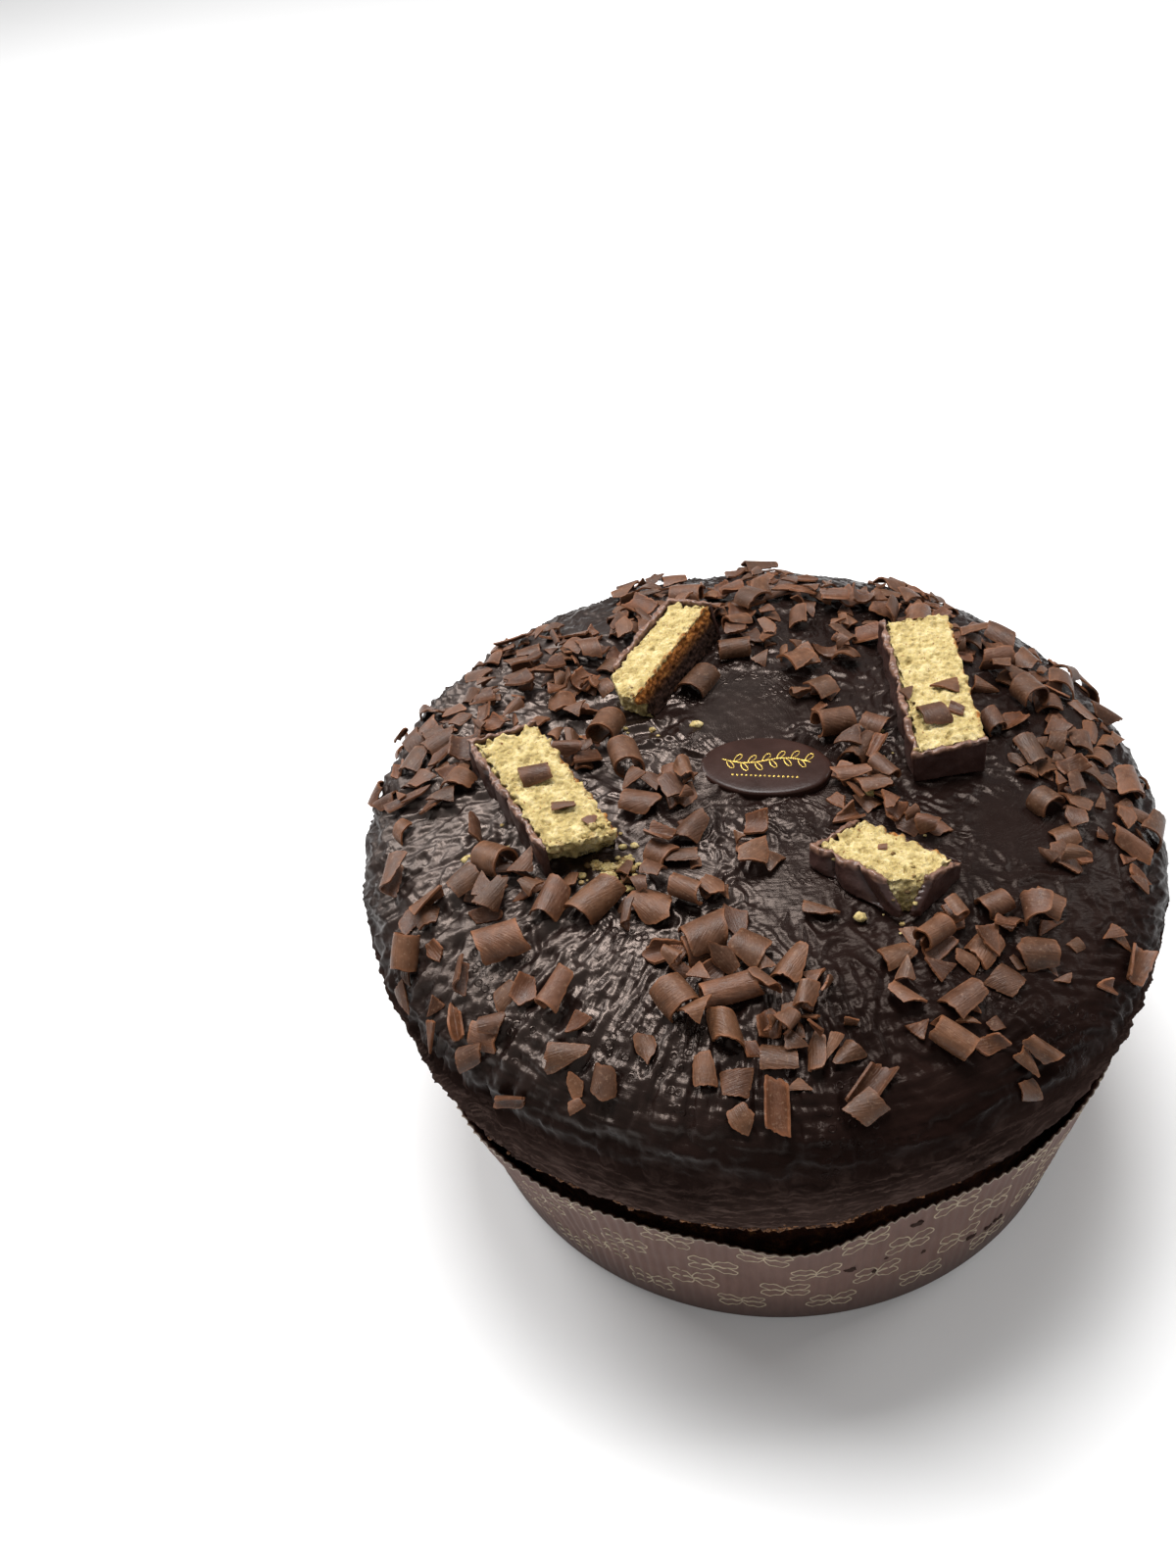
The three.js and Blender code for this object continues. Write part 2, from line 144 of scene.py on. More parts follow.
def end_faces(rows, columns):
    """A face over the first and one over the last loop of a wrapped grid."""
    last = (rows - 1) * columns
    return [list(range(columns)), list(range(last, last + columns))[::-1]]


def azimuth_of(x, y):
    """Degrees round the case's axis, from 0 at the front to 90 on the right."""
    return np.degrees(np.arctan2(x, -y))


def angle_between(first, second):
    return (first - second + 180) % 360 - 180


def polar(azimuth, radius, z):
    """Points at azimuths in degrees, distances from the case's axis and heights."""
    angle = np.radians(azimuth)
    return np.stack(np.broadcast_arrays(radius * np.sin(angle), -radius * np.cos(angle), z), axis=-1)


def turned(flat, angle):
    """Flat points turned about the origin by an angle in radians."""
    x, y = flat[:, 0], flat[:, 1]
    return np.stack([x * cos(angle) - y * sin(angle), x * sin(angle) + y * cos(angle)], axis=-1)


def shift_x(z):
    """How far the leaning dome is off the case's axis at a height."""
    return DOME_SHIFT * smoothstep(48, EQUATOR, z)


def tucked(x, y, z):
    """Moves points of the plain dome in toward its axis where it narrows above the case."""
    depth = np.interp(azimuth_of(x, y), *zip(*TUCKS)) * smoothstep(96, 62, z) * smoothstep(44, 56, z)
    distance = np.maximum(np.hypot(x, y), 1e-6)
    scale = 1 - np.minimum(depth / distance, 1)
    return x * scale, y * scale, z


def dome_profile(elevation):
    """Radius and height on the dome for elevations from -90 to 90 degrees."""
    angle = np.radians(elevation)
    height = np.where(elevation < 0, DROP, RISE)
    radius = DOME_RADIUS * np.abs(np.cos(angle)) ** (2 / POWER)
    z = EQUATOR + np.sign(elevation) * height * np.abs(np.sin(angle)) ** (2 / POWER)
    return radius, z


def on_dome(azimuth, elevation):
    """Points of the plain dome at azimuths and elevations in degrees."""
    radius, z = dome_profile(elevation)
    points = polar(azimuth, radius, z)
    points[..., 0] += shift_x(z)
    return points


def dome_normal(x, y, z):
    """Outward normals of the dome at points on it."""
    x = x - shift_x(z)
    across = np.hypot(x, y) / DOME_RADIUS
    up = np.abs(z - EQUATOR)
    height = np.where(z < EQUATOR, DROP, RISE)
    slope = across ** (POWER - 1) / DOME_RADIUS
    rise = np.sign(z - EQUATOR) * (up / height) ** (POWER - 1) / height
    flat = np.maximum(np.hypot(x, y), 1e-6)
    normal = np.stack([x / flat * slope, y / flat * slope, rise], axis=-1)
    return normal / np.linalg.norm(normal, axis=-1, keepdims=True)


def elevation_at(z):
    height = np.where(z < EQUATOR, DROP, RISE)
    up = np.clip(np.abs(z - EQUATOR) / height, 0, 1) ** (POWER / 2)
    return np.sign(z - EQUATOR) * np.degrees(np.arcsin(up))


def even_elevations(low, high, count):
    """Elevations from high to low that are evenly spaced along the dome's outline."""
    fine = np.linspace(high, low, 4000)
    radius, z = dome_profile(fine)
    length = np.concatenate([[0], np.cumsum(np.hypot(np.diff(radius), np.diff(z)))])
    return np.interp(np.linspace(0, length[-1], count), length, fine)


# ---- materials


class Look:
    """A Principled material under construction, with short calls for its nodes."""

    def __init__(self, name, roughness, **sockets):
        self.material = bpy.data.materials.new(name)
        self.material.use_nodes = True
        self.tree = self.material.node_tree
        self.shader = self.tree.nodes["Principled BSDF"]
        self.shader.inputs["Roughness"].default_value = roughness
        for socket, value in sockets.items():
            self.shader.inputs[socket.replace("_", " ")].default_value = value

    def node(self, kind, inputs=None, **settings):
        node = self.tree.nodes.new(kind)
        for key, value in settings.items():
            setattr(node, key, value)
        for key, value in (inputs or {}).items():
            if isinstance(value, bpy.types.NodeSocket):
                self.tree.links.new(value, node.inputs[key])
            else:
                node.inputs[key].default_value = value
        return node

    def coordinates(self, kind="Object"):
        return self.node("ShaderNodeTexCoord").outputs[kind]

    def metres(self, axis):
        """The object coordinate along one axis."""
        return self.node("ShaderNodeSeparateXYZ", {"Vector": self.coordinates()}).outputs[axis]

    def scaled(self, where, factors):
        return self.node("ShaderNodeMapping", {"Vector": where, "Scale": factors}).outputs[0]

    def place(self, *sizes):
        """Object coordinates divided by the size in mm of a feature, along all axes or each."""
        sizes = sizes if len(sizes) == 3 else sizes * 3
        return self.scaled(self.coordinates(), tuple(1 / MM / size for size in sizes))

    def noise(self, size, detail=4.0, roughness=0.55):
        """Noise with features of a size in millimetres, or over coordinates given as a socket."""
        where = size if isinstance(size, bpy.types.NodeSocket) else self.place(size)
        inputs = {"Vector": where, "Scale": 1.0, "Detail": detail, "Roughness": roughness}
        return self.node("ShaderNodeTexNoise", inputs).outputs["Fac"]

    def cells(self, size):
        """Distance to the nearest of many scattered points, size millimetres apart."""
        inputs = {"Vector": self.place(size), "Scale": 1.0}
        return self.node("ShaderNodeTexVoronoi", inputs).outputs["Distance"]

    def maths(self, operation, first, second):
        return self.node("ShaderNodeMath", {0: first, 1: second}, operation=operation).outputs[0]

    def ramp(self, fac, stops):
        node = self.node("ShaderNodeValToRGB", {"Fac": fac})
        elements = node.color_ramp.elements
        while len(elements) < len(stops):
            elements.new(0.5)
        for element, (position, colour) in zip(elements, stops):
            element.position = position
            element.color = (*colour, 1)
        return node.outputs["Color"]

    def two_tone(self, fac, first, second):
        return self.ramp(fac, ((0.3, first), (0.7, second)))

    def grey(self, fac, low, high, start=0.3, end=0.7, **settings):
        """Goes from low to high as fac goes from start to end, and stays there beyond them."""
        inputs = {"Value": fac, "From Min": start, "From Max": end, "To Min": low, "To Max": high}
        return self.node("ShaderNodeMapRange", inputs, **settings).outputs["Result"]

    def mix(self, fac, first, second, blend="MIX"):
        """Mixes a colour socket with another or with a plain colour."""
        second = (*second, 1) if isinstance(second, tuple) else second
        inputs = {0: fac, 6: first, 7: second}
        return self.node("ShaderNodeMix", inputs, data_type="RGBA", blend_type=blend).outputs[2]

    def attribute(self, name):
        return self.node("ShaderNodeAttribute", attribute_name=name)

    def feed(self, name, socket):
        """Links a socket to one of the shader's own inputs."""
        self.tree.links.new(socket, self.shader.inputs[name])

    def colour(self, socket):
        self.feed("Base Color", socket)

    def roughness(self, socket):
        self.feed("Roughness", socket)

    def bump(self, *layers):
        """Each layer is (height socket, millimetres of relief)."""
        normal = None
        for height, depth in layers:
            inputs = {"Height": height, "Distance": depth * MM, "Strength": 1.0}
            if normal is not None:
                inputs["Normal"] = normal
            normal = self.node("ShaderNodeBump", inputs).outputs["Normal"]
        self.feed("Normal", normal)


def glaze_look():
    look = Look("dark_chocolate_glaze", 0.36, Specular_Tint=(1.0, 0.80, 0.70, 1.0))
    x, y, z = (look.metres(axis) for axis in "XYZ")
    patches = look.noise(22, 3)
    top = look.two_tone(patches, (0.0062, 0.0029, 0.0023), (0.0128, 0.0063, 0.0051))
    # painted sheen: the lower side has no specular, so its base colour is lighter and greyer in place of
    # the dull reflection it shows
    flank_painted_sheen = look.two_tone(patches, (0.024, 0.0147, 0.0123), (0.045, 0.0283, 0.024))
    strokes_map = look.attribute("strokes").outputs["Vector"]
    brush = look.noise(look.scaled(strokes_map, (2.2, 2.2, 1.6)), 5, 0.6)
    flank = look.grey(z, 1, 0, 0.088, 0.112)
    # painted highlights: light strokes along the brush lines of the lower side stand in for the glints
    # on them
    painted_stroke_glints = look.maths("MULTIPLY", look.grey(brush, 0, 1, 0.48, 0.68), flank)
    look.colour(look.mix(painted_stroke_glints, look.mix(flank, top, flank_painted_sheen), (0.092, 0.061, 0.052)))

    # the top is glossy, most of all at the back and on the left, where the shine is satin
    satin = look.grey(x, 0.15, 0, -0.085, -0.03)
    look.roughness(look.maths("ADD", look.grey(look.noise(7, 5), 0.2, 0.35), satin))
    shine = look.grey(z, 0, 0.3, 0.105, 0.13, interpolation_type="SMOOTHSTEP")
    left = look.grey(x, 3.4, 0.5, -0.09, 0.02)
    back = look.grey(y, -0.22, 0.4, -0.06, 0.035)
    look.feed("Specular IOR Level", look.maths("MULTIPLY", shine, look.maths("ADD", left, back)))

    # burst bubbles leave small rings in some places
    rings = look.ramp(look.cells(2.7), ((0.24, (0, 0, 0)), (0.33, (1, 1, 1)), (0.43, (0, 0, 0))))
    bubbly = look.grey(look.noise(26, 1), 0, 1, 0.57, 0.64)
    bubbles = look.maths("MULTIPLY", rings, bubbly)
    look.bump((look.noise(4.2, 2, 0.5), 0.36), (brush, 0.18), (bubbles, 0.16))
    return look.material


def crust_look():
    """Brown crust, in dark and golden patches that vary at random."""
    look = Look("baked_crust", 0.8)
    tones = ((0.38, (0.05, 0.013, 0.006)), (0.56, (0.13, 0.038, 0.012)), (0.72, (0.42, 0.18, 0.05)))
    look.colour(look.ramp(look.noise(4, 6, 0.65), tones))
    look.bump((look.noise(1.2, 6, 0.7), 0.6))
    return look.material


def crust_flake_look():
    look = Look("golden_crust_flakes", 0.75)
    tones = ((0.35, (0.045, 0.015, 0.006)), (0.68, (0.3, 0.12, 0.034)))
    look.colour(look.ramp(look.noise(1.4), tones))
    look.bump((look.noise(0.5, 3), 0.2))
    return look.material


def curl_look():
    """Milk chocolate with pale dust and lines along the roll; each curl has its own tint."""
    look = Look("milk_chocolate_curl", 0.45, Specular_IOR_Level=0.3)
    fine = look.noise(3.5)
    body = look.two_tone(fine, (0.064, 0.0265, 0.0125), (0.12, 0.052, 0.0262))
    # the tint holds each curl's own tone and a painted highlight along its rim
    shaded = look.mix(1.0, body, look.attribute("tint").outputs["Color"], "MULTIPLY")
    dust = look.grey(look.noise(1.1, 5, 0.7), 0.0, 0.42, 0.56, 0.72)
    look.colour(look.mix(dust, shaded, (0.32, 0.2, 0.13)))
    look.roughness(look.grey(fine, 0.36, 0.56))
    streaks = look.noise(look.scaled(look.coordinates("UV"), (0.25, 2.2, 1)), 3)
    look.bump((streaks, 0.22), (look.noise(0.6), 0.08))
    return look.material


def sponge_look():
    """Yellow crumb; the toast layer's red is how far it is browned, and its green how dark that is:
    painted shade on the bars' browned sides, darker toward their foot, and real darker browning on loose
    crumbs.
    """
    look = Look("yellow_sponge", 0.92, Specular_IOR_Level=0.2, Subsurface_Weight=0.2,
                Subsurface_Radius=(0.0022, 0.0016, 0.0006))
    tones = ((0.3, (0.245, 0.177, 0.070)), (0.48, (0.44, 0.338, 0.14)), (0.68, (0.65, 0.54, 0.295)))
    base = look.ramp(look.noise(3.4, 6, 0.7), tones)
    specks = look.grey(look.noise(1.0, 2, 0.4), 0, 0.85, 0.67, 0.73)
    crumb = look.mix(specks, base, (0.17, 0.06, 0.02))
    browns = ((0.3, (0.08, 0.022, 0.005)), (0.52, (0.27, 0.09, 0.016)), (0.72, (0.48, 0.21, 0.05)))
    browned = look.ramp(look.noise(1.8, 5, 0.65), browns)
    parts = look.node("ShaderNodeSeparateColor", {"Color": look.attribute("toast").outputs["Color"]})
    # the green channel darkens the browning: painted shade on the bars' sides, real darker browning on
    # loose crumbs
    dark_browning_and_painted_shade = look.mix(parts.outputs["Green"], browned, (0.022, 0.008, 0.004))
    look.colour(look.mix(parts.outputs["Red"], crumb, dark_browning_and_painted_shade))
    look.bump((look.cells(1.3), 0.42), (look.noise(0.5, 4, 0.7), 0.25))
    return look.material


def coat_look():
    """Chocolate coat, pale with crumbs along its cut rim."""
    look = Look("bar_coating", 0.34, Specular_IOR_Level=0.5)
    tone = look.noise(5)
    dark = look.two_tone(tone, (0.028, 0.0115, 0.0092), (0.054, 0.0235, 0.019))
    rim = look.attribute("rim").outputs["Fac"]
    look.colour(look.mix(look.grey(rim, 0, 0.7, 0.1, 1), dark, (0.27, 0.14, 0.09)))
    look.roughness(look.grey(tone, 0.28, 0.48))
    look.bump((look.noise(1.6), 0.2))
    return look.material


def plaque_look():
    look = Look("plaque_chocolate", 0.36, Specular_IOR_Level=0.18)
    tone = look.noise(9)
    look.colour(look.two_tone(tone, (0.019, 0.0076, 0.0054), (0.031, 0.0125, 0.009)))
    look.roughness(look.grey(tone, 0.27, 0.36))
    look.bump((look.noise(2.2, 3), 0.06))
    return look.material


def gold_look(name, colour, roughness, metallic):
    look = Look(name, roughness, Metallic=metallic)
    dark = tuple(0.6 * part for part in colour)
    look.colour(look.ramp(look.noise(2.5), ((0.3, dark), (0.6, colour))))
    look.bump((look.noise(0.5, 3), 0.03))
    return look.material


def paper_look():
    """Brown fibrous paper, greyer at the foot of the case."""
    look = Look("baking_paper", 0.62, Specular_IOR_Level=0.35)
    fibres = look.noise(look.place(2.5, 2.5, 9), 5, 0.65)
    base = look.two_tone(fibres, (0.116, 0.060, 0.046), (0.162, 0.089, 0.069))
    blotched = look.mix(look.grey(look.noise(16), 0.0, 0.5), base, (0.100, 0.052, 0.040))
    low = look.grey(look.metres("Z"), 0.75, 0.0, 0.0, 0.022)
    look.colour(look.mix(low, blotched, (0.062, 0.038, 0.032)))
    look.bump((fibres, 0.06), (look.noise(0.5, 3), 0.03))
    return look.material


# ---- glaze

GLAZE_COLUMNS, GLAZE_ROWS = 900, 230
crumple = Noise(11)
strokes = Noise(23)

# smooth bare patches of the glaze: azimuth, distance from the axis, half-size
BARE_PATCHES = ((-172, 27, 17), (160, 30, 12), (14, 42, 13), (75, 74, 13), (-25, 44, 9), (100, 58, 9))
# millimetres added to the relief, which bring the glaze up toward the toppings' CAD places
SKIN_RISE = 0.25
# sizes in mm of the glaze's features
LUMP, SMALL_LUMP = 31, 14
FOLD, BROAD_FOLD, SMALL_FOLD = (5.2, 5.2, 6.5), (9.5, 9.5, 12), 2.3
STROKE_LENGTH, STROKE_WIDTH = 17, 2.1
FALL_LENGTH, FALL_WIDTH, FALL_DEPTH = 13, 3.4, 1.5


def way_down(x, y, z):
    """Millimetres from the top of the dome out to its edge and on down its side."""
    return np.where(z > EQUATOR, np.hypot(x, y), DOME_RADIUS + (EQUATOR - z))


def brush_space(points):
    """Points in stroke lengths and widths: strokes run round the side, and slant left and right."""
    x, y, z = points.T
    around = azimuth_of(x, y)
    slant = 0.42 * smoothstep(-35, -60, around) - 0.3 * smoothstep(40, 75, around)
    lane = way_down(x, y, z) + slant * radians(1) * around * DOME_RADIUS
    return np.stack([x / STROKE_LENGTH, y / STROKE_LENGTH, lane / STROKE_WIDTH], axis=-1)


def glaze_relief(points):
    """Millimetres that the glaze rises above the plain dome at points (mm)."""
    x, y, z = points.T
    around = azimuth_of(x, y)
    down = way_down(x, y, z)

    lumps = crumple(points / LUMP + 3.1) * 0.9 + crumple(points / SMALL_LUMP + 7.7) * 0.45

    warp = np.stack([crumple(points / 9 + shift) for shift in (0.0, 41.0, 83.0)], axis=-1)
    left = smoothstep(-10, -45, around) * smoothstep(-150, -110, around)
    folds = ridged(crumple(points / FOLD + warp * 1.1), 2.6) - 0.35
    broad_folds = 1.9 * (ridged(crumple(points / BROAD_FOLD + warp * 0.9 + 70), 1.7) - 0.45)
    folds = folds + 0.8 * left * (broad_folds - folds)
    small = ridged(crumple(points / SMALL_FOLD + warp * 0.8 + 9), 2.0) - 0.4

    brushed = brush_space(points)
    streaks = strokes(brushed) * 0.6 + strokes(brushed * 2.1 + 5) * 0.3
    streaks = streaks + 0.5 * ridged(strokes(brushed + 31), 4)

    # on the front and left shoulder the glaze ran down in soft falls
    run = polar(around, DOME_RADIUS / FALL_WIDTH, down / FALL_LENGTH) * (1, -1, 1) + 0.5 * warp
    falls = strokes(run + 50) + 0.5 * ridged(strokes(run * 1.7), 3)
    shoulder = smoothstep(62, 84, down) * smoothstep(126, 108, down) * smoothstep(28, 5, around)
    shoulder = shoulder * smoothstep(-150, -120, around)

    smooth_parts = np.zeros(len(points))
    for patch_azimuth, distance, size in BARE_PATCHES:
        centre = polar(patch_azimuth, distance, 0) + (DOME_SHIFT, 0, 0)
        away = np.hypot(x - centre[0], y - centre[1]) + 2.5 * crumple(points / 7 + 60)
        smooth_parts = np.maximum(smooth_parts, 1 - smoothstep(size * 0.75, size * 1.15, away))

    side = smoothstep(95, 112, down)
    wet = smoothstep(60, 30, np.hypot(x, y)) * smoothstep(120, 128, z)
    fold_depth = 1.0 + 0.7 * left + 0.5 * wet
    fold_depth = fold_depth * (1 - 0.45 * side * (1 - left)) * (1 - 0.9 * smooth_parts)
    rise = lumps * (1 - 0.5 * smooth_parts)
    rise += folds * fold_depth * (0.75 + 0.5 * crumple(points / 19 + 30))
    rise += small * 0.22 * (1 - smooth_parts) * (1 - 0.6 * left)
    rise += streaks * (0.2 + 1.1 * side) * (1 - smooth_parts)
    rise += falls * FALL_DEPTH * shoulder
    return rise + SKIN_RISE


def hem_height(around):
    """Height of the glaze's lower edge, which is ragged, at each azimuth."""
    ring = polar(around + 90, 1, 0)
    return (HEM_HEIGHT + 1.6 * crumple(ring * 3 + 5) + 1.3 * crumple(ring * 11 + 8)
            + 0.8 * crumple(ring * 37 + 2))


def make_glaze(material):
    around = np.linspace(-180, 180, GLAZE_COLUMNS, endpoint=False)
    share = np.linspace(0, 1, GLAZE_ROWS)[:, None]
    hem = elevation_at(HEM_HEIGHT)
    hem_shift = elevation_at(hem_height(around)) - hem
    elevation = even_elevations(hem, 90, GLAZE_ROWS)[:, None] + hem_shift * smoothstep(0.55, 1, share)
    outer = on_dome(around, elevation).reshape(-1, 3)
    normal = dome_normal(*outer.T)
    relief = glaze_relief(outer)
    outer = np.stack(tucked(*outer.T), axis=-1)
    rounding = np.repeat(1.2 * smoothstep(0.985, 1, share.ravel()) ** 2, GLAZE_COLUMNS)
    skin = outer + normal * (relief - rounding)[:, None]

    inner_rows = np.linspace(GLAZE_ROWS - 1, 0, 26).astype(int)
    inside = (outer - normal * GLAZE_THICKNESS).reshape(GLAZE_ROWS, GLAZE_COLUMNS, 3)[inner_rows]
    vertices = np.concatenate([skin, inside.reshape(-1, 3)])
    faces = grid_faces(GLAZE_ROWS + len(inner_rows), GLAZE_COLUMNS, wrap=True)
    glaze = mesh_object("glaze", vertices, faces, material, "glaze")
    strokes_map = glaze.data.attributes.new("strokes", "FLOAT_VECTOR", "POINT")
    strokes_map.data.foreach_set("vector", brush_space(vertices).ravel())
    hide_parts("chocolate_glaze")
    return glaze


# ---- loaf and case


# clear space between the glaze and the loaf
LOAF_GAP = 0.5


def make_loaf(material):
    columns = 360
    around = np.linspace(-180, 180, columns, endpoint=False)
    crust = Noise(31)
    radius, z = dome_profile(even_elevations(elevation_at(HEM_HEIGHT + 1), 90, 60)[::-1])
    scale = 1 - (GLAZE_THICKNESS + LOAF_GAP) / DOME_RADIUS
    foot = [(0, 1.2), (60, 1.2), (92, 1.2), (95.5, 4)]
    wall = [(95.5 + 2 * t, 4 + 42 * t) for t in np.linspace(0.1, 1, 14)]
    neck = [(100, 54), (104, 59)]
    dome = list(zip(radius * scale, EQUATOR + (z - EQUATOR) * scale))
    outline = np.array(foot + wall + neck + dome)
    outline[-1, 0] = 0
    points = polar(around, outline[:, :1], outline[:, 1:])
    points[..., 0] += shift_x(points[..., 2])
    points = np.stack(tucked(*points.reshape(-1, 3).T), axis=-1)
    out = points * (1, 1, 0) / np.maximum(np.hypot(points[:, 0], points[:, 1]), 1)[:, None]
    # the crust is rough up to the hem of the glaze, and gets smooth under it
    rough = smoothstep(3, 8, points[:, 2]) * smoothstep(100, 70, points[:, 2])
    bulge = crust(points / 9) * 0.7 + crust(points / 3) * 0.35
    points = points + out * (rough * np.minimum(bulge, 0.4))[:, None]
    faces = grid_faces(len(outline), columns, wrap=True)[:, ::-1]
    loaf = mesh_object("baked_loaf", points, faces, material, "crust")
    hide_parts("loaf")


def rim_wave(around):
    """How far the rim of the case is pushed out (+) or in (-)."""
    return sum(push * np.exp(-((angle_between(around, centre) / half_width) ** 2))
               for centre, push, half_width in RIM_WAVES)


def case_wall(around, z, offset=0.0):
    """Points on the case's outer wall at azimuths and heights, moved outwards by offset."""
    climb = np.clip(z / CASE_HEIGHT, 0, 1.1)
    radius = CASE_BASE_RADIUS + (CASE_RIM_RADIUS - CASE_BASE_RADIUS) * climb
    return polar(around, radius + rim_wave(around) * climb**1.5 + offset, z)


def flute(around, z):
    """The fine upright flutes pressed into the paper, strongest at the top and on the left."""
    strength = 0.16 + 0.22 * smoothstep(-5, -40, around) * smoothstep(-110, -70, around)
    return strength * np.sin(np.radians(around) * FLUTES) * smoothstep(1.5, 9, z)


creases = Noise(47)


def creased_wall(around, z, offset=0.0):
    """The outer wall with its flutes and soft creases."""
    wall = case_wall(around, z, flute(around, z) + offset)
    bend = creases(wall / (26, 26, 14)) * 0.5 * np.clip(z / 20, 0, 1)
    wall[:, :2] *= (1 + bend / 100)[:, None]
    return wall


def case_azimuths():
    """Eight places on each flute, all round the case."""
    return np.linspace(-180, 180, FLUTES * 8, endpoint=False)


def scalloped_rim(around):
    """The case's upper edge, with one small scallop to a flute."""
    scallop = np.abs(np.sin(np.radians(around) * FLUTES / 2))
    return creased_wall(around, SCALLOP_FOOT + 1.3 * scallop, 0.25)


def make_case(material):
    around = case_azimuths()
    columns = len(around)
    levels = (0.0, 0.5, *np.linspace(1.5, SCALLOP_FOOT, 22))
    rows = [creased_wall(around, np.full(columns, z)) for z in levels] + [scalloped_rim(around)]
    inner = []
    for row in rows[::-1]:
        shrunk = row.copy()
        shrunk[:, :2] *= 1 - PAPER / np.hypot(row[:, 0], row[:, 1])[:, None]
        shrunk[:, 2] = np.maximum(shrunk[:, 2], CASE_FLOOR)
        inner.append(shrunk)
    low = [rows[0] * (share, share, 1) for share in (0.02, 0.97)]
    loops = low + rows + inner[:-1] + [inner[-1] * (0.02, 0.02, 1)]
    faces = grid_faces(len(loops), columns, wrap=True)[:, ::-1].tolist() + end_faces(len(loops), columns)
    case = mesh_object("fluted_case", np.concatenate(loops), faces, material, "case_paper")
    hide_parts("paper_case")


# ---- printed lines


def ribbon(points, sides, ups, width, height, closed):
    """A thin closed band along points, lying on the surface that ups stand on."""
    points, sides, ups = (np.asarray(part, dtype=float) for part in (points, sides, ups))
    half, sunk = sides * width / 2, ups * 0.3
    corners = [points - half - sunk, points + half - sunk, points + half + ups * height,
               points - half + ups * height]
    vertices = np.stack(corners, axis=1).reshape(-1, 3)
    count = len(points)
    if closed:
        return vertices, (grid_faces(count + 1, 4, wrap=True) % len(vertices)).tolist()
    return vertices, grid_faces(count, 4, wrap=True).tolist() + end_faces(count, 4)


def joined(parts):
    """Several (vertices, faces) as one."""
    vertices, faces, start = [], [], 0
    for part_vertices, part_faces in parts:
        vertices.append(part_vertices)
        faces.extend([[index + start for index in face] for face in part_faces])
        start += len(part_vertices)
    return np.concatenate(vertices), faces


def directions(points, ups, closed):
    """Unit sideways directions of a line that lies on a surface."""
    if closed:
        ahead = np.roll(points, -1, axis=0) - np.roll(points, 1, axis=0)
    else:
        ahead = np.gradient(points, axis=0)
    sides = np.cross(ups, ahead)
    return sides / np.maximum(np.linalg.norm(sides, axis=1, keepdims=True), 1e-9)


def petal_outline(length, width, count=18):
    turn = np.linspace(0, TAU, count, endpoint=False)
    out = length * (1 - np.cos(turn)) / 2
    across = width / 2 * np.sin(turn) * np.sqrt(np.abs(np.sin(turn / 2)))
    return np.stack([out, across], axis=-1)


CASE_MEAN_RADIUS = 104


def on_case(across, up, azimuth, middle):
    """Case wall points for a flat drawing centred on an azimuth and height, with normals."""
    around = azimuth + np.degrees(across / CASE_MEAN_RADIUS)
    return creased_wall(around, middle + up), polar(around, 1, 0)


# height of each row of clovers, and how much of a gap it is turned by
CLOVER_ROWS = ((50.5, 0.0), (38.0, 0.5), (25.5, 0.2), (13.0, 0.7))
CLOVERS_ROUND = 24
PETAL_TURNS = (38, 142, 218, 322)
PETAL_LENGTH, PETAL_WIDTH, SQUASH, LINE_WIDTH = 8.2, 6.4, 0.74, 0.37


def make_clovers(material):
    """Rows of four-petalled outlines printed on the case."""
    rng = np.random.default_rng(5)
    petal = petal_outline(PETAL_LENGTH, PETAL_WIDTH)
    lines = []
    for (middle, offset), index in product(CLOVER_ROWS, range(CLOVERS_ROUND)):
        azimuth = (index + offset) * 360 / CLOVERS_ROUND + rng.normal(0, 0.4)
        turn = rng.normal(0, 6)
        for petal_turn in PETAL_TURNS:
            across, up = turned(petal, radians(turn + petal_turn)).T
            wall, normals = on_case(across, SQUASH * up, azimuth, middle)
            lines.append(ribbon(wall, directions(wall, normals, True), normals, LINE_WIDTH, 0.1, True))
    mesh_object("printed_clovers", *joined(lines), material, "case_paper")


def make_rim_edge(material):
    """A pale band along the cut edge of the case's scalloped rim: a painted highlight where the edge
    catches the light.
    """
    around = case_azimuths()
    wall, normals = scalloped_rim(around), polar(around, 1, 0)
    band = ribbon(wall, directions(wall, normals, True), normals, 0.3, 0.06, True)
    mesh_object("scalloped_edge", *band, material, "case_paper")


# chocolate smears on the case: azimuth and height
SMEARS = ((12.8, 34.2), (19.1, 32.6), (17.2, 26.4), (23.6, 47.8), (25.9, 26.8), (41.2, 21.2),
          (39.2, 19.8), (35.5, 20.9), (-120, 30), (160, 41))


def make_smears(material):
    rng = np.random.default_rng(15)
    spots = []
    for azimuth, height in SMEARS:
        wall = creased_wall(np.array([float(azimuth)]), np.array([float(height)]))[0]
        spot, faces = lump(wall, rng.uniform(1.8, 3.4), rng)
        out = polar(azimuth, 1, 0)
        flattened = spot - 0.85 * np.outer((spot - wall) @ out, out)
        spots.append((flattened, faces))
    mesh_object("chocolate_smears", *joined(spots), material, "glaze")


# flakes of crust along the hem of the glaze: azimuth, spread in degrees, how many
FLAKE_CLUSTERS = ((12, 11, 120), (-33, 7, 50), (45, 6, 34), (-5, 12, 40), (150, 60, 80), (-120, 40, 50))


